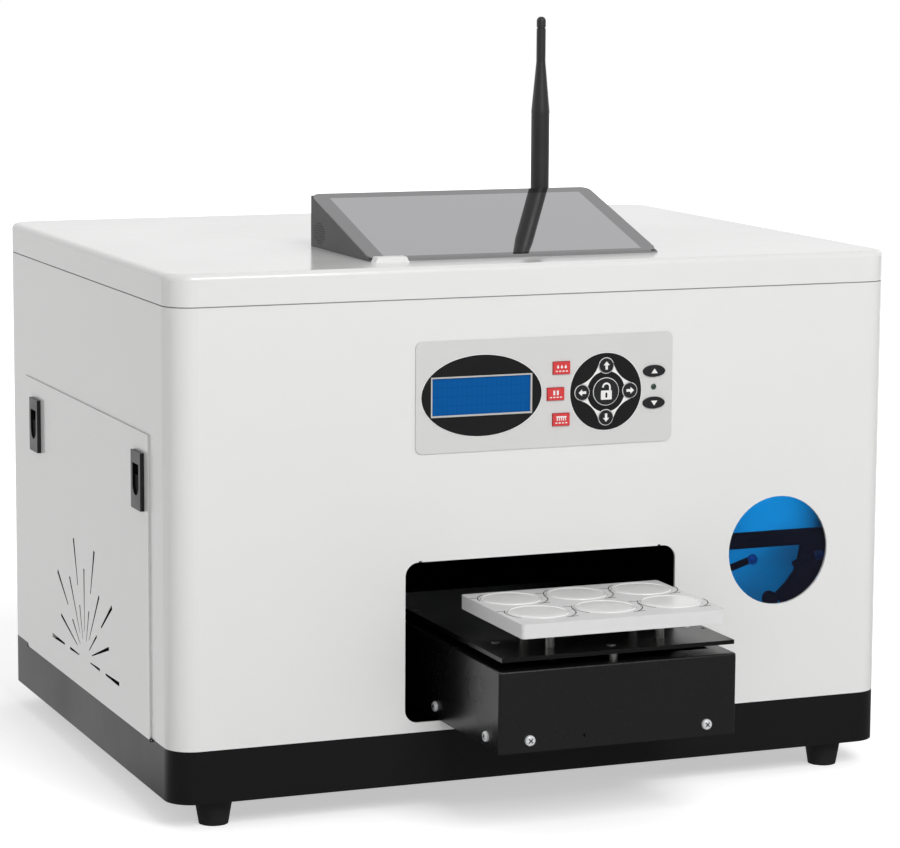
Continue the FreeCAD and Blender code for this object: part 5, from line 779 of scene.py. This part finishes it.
smoked = worked("smoked_lens", "3a3b3c", (0.08, 0.16), ("343536", "414243"), 0.5, 0.004, 4,
                Coat_Weight=0.5)
lamp_x = face_middle("key_up")[0][0]
lamp_z = (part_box("key_up")[1].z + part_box("key_down")[0].z) / 2
LENS_RADIUS, LENS_RISE, LENS_ROOT = 1.85, 0.75, 0.4
lens_angle = np.radians(np.linspace(0, 90, 10))
lens = np.column_stack([LENS_RADIUS * np.sin(lens_angle), LENS_RISE * np.cos(lens_angle)])
lens = np.vstack([lens, [(LENS_RADIUS, -LENS_ROOT), (0, -LENS_ROOT)]])
lens_shape = turned(lens, (lamp_x, film_face, lamp_z), "-y", 40)
piece("status_lamp_lens", [lens_shape], smoked, "case")
print("lamp at", round(lamp_x / MM, 1), round(lamp_z / MM, 1))

# %% [markdown]
# ## Nail pads
# Each pad is pressed with a raised rim, a shallow moat inside it and a flat middle that is a little lower
# than the rim. One profile turned round gives the pad, and six of them replace the plain discs.

# %% Six pads
pads_low, pads_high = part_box("nail_pads")
PAD_RADIUS, PAD_THICK, PAD_TURNS = 22.0, 2.9, 96
RIM_MIDDLE, RIM_HALF, RIM_HIGH = PAD_RADIUS - 1.25, 1.0, 0.36
pad_columns = np.linspace(pads_low.x / MM + PAD_RADIUS, pads_high.x / MM - PAD_RADIUS, 3)
pad_rows = np.linspace(pads_low.y / MM + PAD_RADIUS, pads_high.y / MM - PAD_RADIUS, 2)
pad_top = pads_high.z
rim_angle = np.radians(np.linspace(180, 0, 13))
rim = np.column_stack([RIM_MIDDLE + RIM_HALF * np.cos(rim_angle), RIM_HIGH * (np.sin(rim_angle) - 1)])
dish = [(0, -0.24), (10, -0.25), (17.6, -0.26), (18.3, -0.29), (18.9, -0.4), (19.5, -0.42)]
side = [(PAD_RADIUS - 0.1, -0.65), (PAD_RADIUS, -0.9), (PAD_RADIUS, -PAD_THICK), (0, -PAD_THICK)]
pad_profile = np.vstack([dish, rim, side])
pads = [turned(pad_profile, (x * MM, y * MM, pad_top), "z", PAD_TURNS)
        for x in pad_columns for y in pad_rows]
milky_pads = piece("milky_pads", pads, milky, "tray")
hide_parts("nail_pads")
print("pads", len(pads), "triangles each about", PAD_TURNS * len(pad_profile) * 2)

# %% [markdown]
# ## Register marks and gap shade
# The head is set up over fine marks cut in the tray round each pad: a short bar at the left, level with
# the pad's rear third, and a crossbar at the front right. An arc on either side of each pad is painted
# shade:
# it stands in for the shadowed gap between the pad and its recess. The arcs follow circles a little wider
# than the pad. Bars and arcs are drawn in the same grey.

# %% Marks and painted shade round the pads
tray_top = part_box("nail_tray")[1].z
mark_and_shade_grey = worked("grey_mark_and_shade", "565656", (0.55, 0.65), ("505050", "5c5c5c"), 0.5, 0.005, 8)
BAR_LINE, SHADE_ARC_LINE = 1.2, 0.9
LEFT_SHADE_ARC, RIGHT_SHADE_ARC = 23.7, 26.2
LEFT_SHADE_SPANS, RIGHT_SHADE_SPAN = ((150, 218), (127, 180)), (-54, 4)


def painted(path_mm, width_mm):
    """A painted line on the tray's level top along a path of (x, y) in millimetres."""
    path = np.column_stack([np.asarray(path_mm, float) * MM, np.full(len(path_mm), tray_top)])
    return carried(path, strip(width_mm, INK_MM), facing=(0, 0, 1))


def tray_marks_and_shade(x, y, left_shade_span):
    """The marks and painted shade arcs of one pad, from the pad's middle in millimetres."""
    bars = [[(x - 27.2, y + 11.2), (x - 22.6, y + 9.4)], [(x + 11.9, y - 22.2), (x + 21.1, y - 21.0)]]
    # The arcs are painted shade of the gap round the pad, drawn in the marks' grey.
    shade_arcs = [arc((x, y), LEFT_SHADE_ARC, *left_shade_span), arc((x, y), RIGHT_SHADE_ARC, *RIGHT_SHADE_SPAN)]
    return [painted(bar, BAR_LINE) for bar in bars] + [painted(curve, SHADE_ARC_LINE) for curve in shade_arcs]


marks = []
for x in pad_columns:
    for y, span in zip(pad_rows, LEFT_SHADE_SPANS):
        marks += tray_marks_and_shade(x, y, span)
piece("register_marks_and_gap_shade", marks, mark_and_shade_grey, "tray", smooth=False)
print("marks", len(marks))

# %% [markdown]
# Two small notches stand open in the slot's upper edge, just inside its corners, where the folded lip
# was relieved. Each is drawn as a small flat dark patch flush with the wall, painted shade of the open
# notch.

# %% Slot notches
shell_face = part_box("outer_shell")[0].y
NOTCH_X, NOTCH_Z = (-95.5, 92.0), 182.0
NOTCH = rounded_box(2.4, 1.1, 0.35)
# Dark patches flush with the wall: painted shade of the open notches.
notches = [plate(turned_outline(NOTCH, (x * MM, NOTCH_Z * MM), 0), shell_face - INK, INK) for x in NOTCH_X]
piece("slot_notches", notches, matt_black, "case", smooth=False)
print("notches", len(notches))

# %% [markdown]
# ## Screw heads
# The screws have a cross recess. The recess itself is finer than the solids, and a dark cross on the
# head's crown is what the eye reads, so each head gets a dark cross that stands a hair above the crown.

# %% Cross recesses
recess_dark = worked("recess_shadow", "1b1b1c", (0.45, 0.6), ("171718", "222223"), 0.3, 0.004, 3,
                     Metallic=0.7)
CROSS_PROUD, CROSS_DEEP = 0.05, 0.5


def cross(centre, outward, arm_mm, width_mm, tilt):
    """A cross on a screw's crown: four arms in the plane across the outward direction, turned by tilt."""
    outward = np.asarray(outward, float)
    first = np.cross(outward, (0, 0, 1) if abs(outward[2]) < 0.9 else (0, 1, 0))
    first /= np.linalg.norm(first)
    second = np.cross(outward, first)
    turn = math.radians(tilt)
    u = math.cos(turn) * first + math.sin(turn) * second
    v = np.cross(outward, u)
    half, arm = width_mm / 2, arm_mm
    outline = [(arm, -half), (arm, half), (half, half), (half, arm), (-half, arm), (-half, half),
               (-arm, half), (-arm, -half), (-half, -half), (-half, -arm), (half, -arm), (half, -half)]
    outline = np.array(outline) * MM
    foot = np.asarray(centre) + outward * (CROSS_PROUD - CROSS_DEEP) * MM
    return prism(foot + outline[:, :1] * u + outline[:, 1:] * v, outward * CROSS_DEEP * MM)


screws_low, screws_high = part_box("platform_screws")
cover_low, cover_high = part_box("platform_cover")
screw_z = (screws_low.z + screws_high.z) / 2
FRONT_SCREW_INSET, SIDE_SCREWS = 23 * MM, (22 * MM, 117 * MM)
CROSS_ARM, CROSS_WIDTH = 2.1, 0.75
front_screws = [(x, screws_low.y, screw_z)
                for x in (cover_low.x + FRONT_SCREW_INSET, cover_high.x - FRONT_SCREW_INSET)]
side_screws = [(x, cover_low.y + inset, screw_z) for inset in SIDE_SCREWS
               for x in (screws_low.x, screws_high.x)]
crosses = [cross(place, (0, -1, 0), CROSS_ARM, CROSS_WIDTH, 45) for place in front_screws]
crosses += [cross(place, (math.copysign(1, place[0]), 0, 0), CROSS_ARM, CROSS_WIDTH, 30)
            for place in side_screws]
piece("screw_recesses", crosses, recess_dark, "platform", smooth=False)
print("crosses", len(crosses))

# %% [markdown]
# The plate is held by two countersunk screws at its sides and one on its front post. Their crowns are
# level with the plate, so each is a shallow polished dish with a cross in it.

# %% Plate screws
plate_low, plate_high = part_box("lift_plate")
plate_middle = (plate_low.x + plate_high.x) / 2
PLATE_SCREWS = [(-72.5, 50.0), (75.5, 52.0), (0.0, 14.7)]
CROWN_HIGH = 0.12
crown = [(0, CROWN_HIGH), (2.5, CROWN_HIGH), (2.9, 0.22), (3.2, 0.2), (3.3, 0.0), (3.2, -0.1), (0, -0.1)]
plate_screws = []
plate_crosses = []
for across, inward in PLATE_SCREWS:
    place = np.array([plate_middle + across * MM, plate_low.y + inward * MM, plate_high.z])
    plate_screws.append(turned(crown, place, "z", 40))
    plate_crosses.append(cross(place + (0, 0, CROWN_HIGH * MM), (0, 0, 1), 1.9, 0.7, 20))
piece("plate_screws", plate_screws, shaft_steel, "lift")
piece("plate_screw_recesses", plate_crosses, recess_dark, "lift", smooth=False)
print("plate screws", len(plate_screws))

# %% [markdown]
# ## Seals and painted light
# A thin grey felt lies in the gap under the lid. Along the door's upright edges a white strip fills the gap
# as painted light: it stands in for the lit edge of the door, so no shadow line shows there. Without
# them the gaps would look black and twice as wide as they are.

# %% Lid seal and painted light at the door
shell_low, shell_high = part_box("outer_shell")
lid_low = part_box("lid_cover")[0]
CASE_CORNER, SEAL_INSET, SEAL_WIDTH, SEAL_CLEAR = 20.0, 1.3, 1.6, 0.12
seal_grey = worked("seal_felt", "8c8c8b", (0.85, 0.95), ("858584", "959594"), 0.4, 0.02, 10)
door_gap_light = worked("door_gap_painted_light", "e4e4e3", (0.85, 0.95), ("e1e1e0", "e7e7e6"), 0.4, 0.02, 10)
span = (shell_high - shell_low) / MM
middle = (shell_low + shell_high) / 2
plan = rounded_box(span.x - 2 * SEAL_INSET, span.y - 2 * SEAL_INSET, CASE_CORNER - SEAL_INSET)
path = np.column_stack([plan * MM + (middle.x, middle.y), np.full(len(plan), shell_high.z)])
felt_high = (lid_low.z - shell_high.z) / MM - SEAL_CLEAR
lid_felt = carried(path, strip(SEAL_WIDTH, felt_high), closed=True, facing=(0, 0, 1))
piece("lid_seal", [lid_felt], seal_grey, "case", smooth=False)

DOOR_SHEET, STRIP_CLEAR, STRIP_WIDE = 1.0 * MM, 0.02 * MM, 2 * MM
STRIP_FOOT, STRIP_TOP = 3 * MM, 0.5 * MM
DOOR_FROM_FRONT, DOOR_FROM_BACK = 50.5 * MM, 56 * MM


def upright_light_strip(y_low, y_high):
    """A white strip of painted light in the gap between the door's sheet and the shell, as a tall box."""
    x_low, x_high = door_low.x + DOOR_SHEET + STRIP_CLEAR, shell_low.x - STRIP_CLEAR
    foot = [(x, y, door_low.z + STRIP_FOOT)
            for x, y in ((x_low, y_low), (x_high, y_low), (x_high, y_high), (x_low, y_high))]
    return prism(foot, (0, 0, door_high.z - STRIP_TOP - door_low.z - STRIP_FOOT))


sheet_low, sheet_high = shell_low.y + DOOR_FROM_FRONT, shell_high.y - DOOR_FROM_BACK
# White strips of painted light, which hide the shadow line at the door's upright edges.
door_light_strips = [upright_light_strip(sheet_low + STRIP_CLEAR, sheet_low + STRIP_WIDE),
         upright_light_strip(sheet_high - STRIP_WIDE, sheet_high - STRIP_CLEAR)]
piece("door_gap_light_strip", door_light_strips, door_gap_light, "door", smooth=False)
print("seals", round(felt_high, 2), "mm high under the lid")

# %% [markdown]
# ## Tablet details
# The speaker is a field of small drilled holes on the tablet's left cheek, laid out in staggered rows and
# cut to an ellipse. Shallow dark discs stand for the holes, because they are far finer than the case.

# %% Speaker holes
case_low, case_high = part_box("tablet_case")
SPEAKER_HALF_WIDTH, SPEAKER_HALF_HEIGHT = 12.0, 8.0
HOLE_PITCH, HOLE_RADIUS = 2.1, 0.55
SPEAKER_FROM_BACK, SPEAKER_ABOVE_LID = 18 * MM, 11 * MM
speaker = np.array([case_low.x, case_high.y - SPEAKER_FROM_BACK, case_low.z + SPEAKER_ABOVE_LID])
disc = [(HOLE_RADIUS, -0.05), (HOLE_RADIUS, 0.03), (0, 0.03)]
hole_dark = worked("hole_shadow", "0b0b0b", (0.65, 0.75), ("090909", "0f0f0f"), 0.3, 0.002, 5)
holes = []
for row in range(-4, 5):
    for column in range(-7, 8):
        y = (column + 0.5 * (row % 2)) * HOLE_PITCH
        z = row * HOLE_PITCH * math.sqrt(3) / 2
        if (y / SPEAKER_HALF_WIDTH) ** 2 + (z / SPEAKER_HALF_HEIGHT) ** 2 <= 1:
            holes.append(turned(disc, speaker + (0, y * MM, z * MM), "-x", 10))
piece("speaker_holes", holes, hole_dark, "lid", smooth=False)
print("speaker holes", len(holes))

# %% [markdown]
# ## The back
# Pan-head screws hold the rear panel along its edges, and four more hold the fan by its corners. They are
# M4, black oxide, and have a cross recess.

# %% Rear screws
panel_low, panel_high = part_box("rear_panel")
fan_low, fan_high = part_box("cooling_fan")
EDGE_INSET, FAN_INSET = 9.0 * MM, 4.25 * MM
HEAD_HIGH = 2.3
HEAD = [(0, HEAD_HIGH), (1.7, 2.1), (2.9, 1.5), (3.5, 0.5), (3.6, -0.3), (0, -0.3)]
TILT_STEP = 17
edge_columns = np.linspace(panel_low.x + EDGE_INSET, panel_high.x - EDGE_INSET, 3)
edge_rows = np.linspace(panel_low.z + EDGE_INSET, panel_high.z - EDGE_INSET, 3)
screw_spots = [(x, z) for x in edge_columns for z in edge_rows
               if (x, z) != (edge_columns[1], edge_rows[1])]
screw_spots += [(x, z) for x in (fan_low.x + FAN_INSET, fan_high.x - FAN_INSET)
                for z in (fan_low.z + FAN_INSET, fan_high.z - FAN_INSET)]
rear_face = panel_high.y
heads = [turned(HEAD, (x, rear_face, z), "y", 32) for x, z in screw_spots]
piece("rear_screws", heads, motor_steel, "case")
crosses = [cross((x, rear_face + HEAD_HIGH * MM, z), (0, 1, 0), 2.0, CROSS_WIDTH, TILT_STEP * index)
           for index, (x, z) in enumerate(screw_spots)]
piece("rear_screw_recesses", crosses, recess_dark, "case", smooth=False)
print("rear screws", len(screw_spots))

# %% [markdown]
# The mains inlet has three blades 14 mm apart, of which the earth stands higher. The rocker carries the
# usual marks, a line for on and a circle for off. Its upper half leans out, so the line leans with it.

# %% Inlet blades and rocker marks
BLADE = rounded_box(2.0, 4.0, 0.3)
BLADE_LONG, BLADE_SUNK, BLADE_SIDE, BLADE_DROP, EARTH_RISE = 11 * MM, 3 * MM, 7.0, 1.0, 2.5
blades = []
for across, rise in ((-BLADE_SIDE, -BLADE_DROP), (BLADE_SIDE, -BLADE_DROP), (0.0, EARTH_RISE)):
    outline = turned_outline(BLADE, (inlet_x + across * MM, inlet_z + rise * MM), 0)
    blades.append(plate(outline, rear_face - BLADE_SUNK - BLADE_LONG, BLADE_LONG))
piece("inlet_blades", blades, shaft_steel, "case", smooth=False)

ROCKER_FACE, ROCKER_LEAN = 0.5 * MM, math.tan(math.radians(20))
CIRCLE_DROP, CIRCLE_RADIUS, CIRCLE_LINE = 4 * MM, 1.5 * MM, 0.5
LINE_RISE, ON_LINE = 3.6 * MM, rounded_box(0.6, 3.2, 0.1)
face_y = rear_face + ROCKER_FACE
circle = arc(rocker_middle - (0, CIRCLE_DROP), CIRCLE_RADIUS, 0, 360, 33)[:-1]
off_mark = stroke(circle, face_y, CIRCLE_LINE, closed=True, facing=(0, 1, 0))
on_points, on_faces = plate(turned_outline(ON_LINE, rocker_middle + (0, LINE_RISE), 0), face_y, INK)
on_points[:, 1] += (on_points[:, 2] - rocker_middle[1]) * ROCKER_LEAN
piece("rocker_marks", [off_mark, (on_points, on_faces)], white_ink, "rocker", smooth=False)
print("inlet blades", len(blades), "rocker marks 2")

# %% [markdown]
# ## Behind the window
# The service bar's arms end in pan-head screws, which glint through the blue pane. The work lamp is a
# small block of white LEDs on the front wall beside the window. A black shade under it cuts its beam, so
# the right wall is bright above the bar, and below the bar it only has what the other walls throw back.

# %% Arm screws and work lamp
pane_low, pane_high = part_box("window_pane")
pane_middle = (pane_low + pane_high) / 2
arms_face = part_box("cap_station")[0].y
PAN_HEAD = [(0, 1.5), (1.3, 1.4), (2.2, 0.9), (2.5, 0.1), (3.3, 0.35), (3.9, 0.2), (4.0, -0.2),
            (4.0, -1.5), (0, -1.5)]
ARM_SCREWS_RIGHT, ARM_SCREW_DROP = (13.2 * MM, 70.2 * MM), 20 * MM
arm_screws = [turned(PAN_HEAD, (pane_middle.x + right, arms_face, pane_middle.z - ARM_SCREW_DROP), "-y", 40)
              for right in ARM_SCREWS_RIGHT]
piece("arm_screws", arm_screws, zinc, "case")

GLOW_PERIOD, GLOW_LEVELS = 16 * MM, (2.0, 5.0)
led_white = bpy.data.materials.new("led_diffuser")
led_white.use_nodes = True
tree, shader, place = inside(led_white)
wave = add(tree, "TexWave", {"Vector": place, "Scale": wave_scale(GLOW_PERIOD)}, bands_direction="Z")
glow = add(tree, "MapRange", {"Value": wave.outputs["Fac"], "To Min": GLOW_LEVELS[0],
                              "To Max": GLOW_LEVELS[1]})
shader.inputs["Base Color"].default_value = linear("f4f4f2")
shader.inputs["Emission Color"].default_value = linear("ffffff")
tree.links.new(glow.outputs["Result"], shader.inputs["Emission Strength"])

LAMP_BLOCK, LAMP_BESIDE, LAMP_ABOVE = rounded_box(7.0, 6.0, 1.0), 11 * MM, 40 * MM
LAMP_OFF_WALL, LAMP_DEPTH, LIGHT_AHEAD = 1 * MM, 5 * MM, 3 * MM
lamp_spot = np.array([pane_low.x - LAMP_BESIDE, pane_middle.z + LAMP_ABOVE])
block = plate(turned_outline(LAMP_BLOCK, lamp_spot, 0), pane_low.y + LAMP_OFF_WALL, LAMP_DEPTH)
piece("work_lamp", [block], led_white, "case", smooth=False)
SHADE_DROP, SHADE_REACH, SHADE_THICK = 5.2 * MM, 12.0, 0.6
SHADE = rounded_box(2 * SHADE_REACH, SHADE_THICK, 0.2)
shade = plate(turned_outline(SHADE, lamp_spot - (0, SHADE_DROP), 0), pane_low.y,
              LAMP_DEPTH + LIGHT_AHEAD + SHADE_REACH * MM)
piece("lamp_shade", [shade], matt_black, "case", smooth=False)
print("work lamp at", (lamp_spot / MM).round(), "mm")

# %% [markdown]
# ## Floor and light
# The printer stands on a plain white floor in a white room. The camera sees the floor lifted to white by
# a glow that grows with the distance from the printer, so a soft shadow stays beside it. Mirrored rays
# see a plain bright floor behind the printer and a dim one in front, where camera and lamps stand.

# %% Floor
floor_mesh = bpy.data.meshes.new("floor")
FLOOR = 8.0
corners = np.array([[(x, y, 0.0) for x in (-FLOOR, FLOOR)] for y in (FLOOR, -FLOOR)])
floor_points, floor_faces = grid(corners)
floor_mesh.from_pydata(floor_points.tolist(), [], floor_faces)
floor = bpy.data.objects.new("floor", floor_mesh)
bpy.context.scene.collection.objects.link(floor)
floor_white = material("floor_white", "f2f2f2", 0.9, Specular_IOR_Level=0.0, Emission_Color=(1, 1, 1, 1))
floor_mesh.materials.append(floor_white)
tree, shader, place = inside(floor_white)
seen = add(tree, "LightPath")
away = add(tree, "VectorMath", {0: place}, operation="LENGTH")
GLOW_FROM, GLOW_TO, GLOW_NEAR, GLOW_FAR = 0.6, 1.4, 0.5, 1.0
glow = add(tree, "MapRange", {"Value": away.outputs["Value"], "From Min": GLOW_FROM, "From Max": GLOW_TO,
                              "To Min": GLOW_NEAR, "To Max": GLOW_FAR})
seen_glow = add(tree, "Math", {0: seen.outputs["Is Camera Ray"], 1: glow.outputs["Result"]},
                operation="MULTIPLY")
DIM_FRONT, EDGE_SLOPE, DIM_TO, BRIGHT_FROM = 0.18, 0.37, -0.25, -0.05
axes = add(tree, "SeparateXYZ", {"Vector": place})
sideways = add(tree, "Math", {0: axes.outputs["X"]}, operation="ABSOLUTE")
behind = add(tree, "Math", {0: sideways.outputs["Value"], 1: -EDGE_SLOPE, 2: axes.outputs["Y"]},
             operation="MULTIPLY_ADD")
mirror = add(tree, "MapRange", {"Value": behind.outputs["Value"], "From Min": DIM_TO,
                                "From Max": BRIGHT_FROM, "To Min": DIM_FRONT, "To Max": 1.0})
lift = add(tree, "Math", {0: seen.outputs["Is Glossy Ray"], 1: mirror.outputs["Result"],
                          2: seen_glow.outputs["Value"]}, operation="MULTIPLY_ADD")
base = add(tree, "Mix", {0: seen.outputs["Is Glossy Ray"], "A": linear("f2f2f2"), "B": (0, 0, 0, 1)},
           data_type="RGBA")
tree.links.new(base.outputs["Result"], shader.inputs["Base Color"])
tree.links.new(lift.outputs["Value"], shader.inputs["Emission Strength"])
print("floor", 2 * FLOOR, "m wide")

# %% [markdown]
# The room follows the same plan. The camera sees it pure white. It lights the printer less from the left,
# where a grey screen stands, and mirrors see it dim in front.

# %% World
world = bpy.data.worlds.new("white_room")
world.use_nodes = True
bpy.context.scene.world = world
tree = world.node_tree
seen = add(tree, "LightPath")
aim = add(tree, "SeparateXYZ", {"Vector": add(tree, "TexCoord").outputs["Generated"]})
LEFT_LIGHT, RIGHT_LIGHT, SKY_DIM_TO, SKY_BRIGHT_FROM = 0.4, 0.58, -0.3, 0.5
soft = add(tree, "MapRange", {"Value": aim.outputs["X"], "From Min": -1.0, "From Max": 1.0,
                              "To Min": LEFT_LIGHT, "To Max": RIGHT_LIGHT})
mirror = add(tree, "MapRange", {"Value": aim.outputs["Y"], "From Min": SKY_DIM_TO,
                                "From Max": SKY_BRIGHT_FROM, "To Min": DIM_FRONT, "To Max": 1.0})
level = add(tree, "Mix", {0: seen.outputs["Is Glossy Ray"], "A": soft.outputs["Result"],
                          "B": mirror.outputs["Result"]}, data_type="FLOAT")
direct = add(tree, "Math", {0: seen.outputs["Is Camera Ray"], 1: seen.outputs["Is Transmission Ray"]},
             operation="MAXIMUM")
strength = add(tree, "Mix", {0: direct.outputs["Value"], "A": level.outputs["Result"], "B": 1.0},
               data_type="FLOAT")
background = tree.nodes["Background"]
background.inputs["Color"].default_value = (1, 1, 1, 1)
tree.links.new(strength.outputs["Result"], background.inputs["Strength"])
print("world set")

# %% [markdown]
# Two soft boxes add shape: one in front above the camera and a weak one overhead. Three small ones inside
# carry the work lamp's narrow beam and the glow of the walls round it. A lamp's watts are worked out from
# the brightness wanted on a white card at its target: watts = level x pi^2 x distance^2. A narrow beam
# gathers the same watts, so its level is set lower.

# %% Soft boxes


def soft_box(name, place, side, level, target, beam=180):
    """A square soft lamp aimed at a target, giving a white card there the stated level."""
    lamp = bpy.data.lights.new(name, "AREA")
    lamp.size = side
    lamp.spread = math.radians(beam)
    made = bpy.data.objects.new(name, lamp)
    bpy.context.scene.collection.objects.link(made)
    made.location = place
    aim = Vector(target) - made.location
    lamp.energy = level * math.pi ** 2 * aim.length ** 2
    made.rotation_euler = aim.to_track_quat("-Z", "Y").to_euler()
    made.visible_camera = False


PRINTER_MIDDLE = (0, 0, 0.22)
soft_box("front_box", (0.2, -2.6, 2.1), 1.4, 0.49, PRINTER_MIDDLE)
soft_box("top_box", (-0.2, 0.4, 2.8), 1.8, 0.03, PRINTER_MIDDLE)
lamp_place = (lamp_spot[0], pane_low.y + LAMP_DEPTH + LIGHT_AHEAD, lamp_spot[1])
soft_box("work_light", lamp_place, 0.002, 0.12, (0.278, 0.1, 0.158), beam=56)
soft_box("inner_glow", (0.2, 0.02, 0.12), 0.05, 0.42, (0.278, 0.03, 0.12))
soft_box("rear_glow", (0.262, 0.175, 0.085), 0.03, 0.9, (0.278, 0.07, 0.1))
print("lamps", len(bpy.data.lights))

# %% [markdown]
# ## Camera
# The camera stands to the left of the printer's front, a little above it, and looks slightly down. Its
# place and three turns are given, and the long lens keeps the case's edges almost parallel.

# %% Camera
CAMERA_PLACE = (-0.9491, -2.3312, 0.6309)
YAW, PITCH, ROLL = math.radians(22.01), math.radians(8.542), math.radians(-0.344)
camera_data = bpy.data.cameras.new("camera")
camera_data.lens = 133.4
camera_data.sensor_width = 36.0
camera_data.sensor_fit = "HORIZONTAL"
camera_data.clip_end = 50.0
camera = bpy.data.objects.new("camera", camera_data)
bpy.context.scene.collection.objects.link(camera)
forward = np.array([math.sin(YAW) * math.cos(PITCH), math.cos(YAW) * math.cos(PITCH), -math.sin(PITCH)])
right = np.array([math.cos(YAW), -math.sin(YAW), 0.0])
down = np.cross(forward, right)
rolled_right = math.cos(ROLL) * right + math.sin(ROLL) * down
rolled_up = math.sin(ROLL) * right - math.cos(ROLL) * down
turn = np.column_stack([rolled_right, rolled_up, -forward])
camera.matrix_world = Matrix.Translation(CAMERA_PLACE) @ Matrix(turn.tolist()).to_4x4()
bpy.context.scene.camera = camera
bpy.context.scene.view_settings.view_transform = "Standard"
print("camera", CAMERA_PLACE)
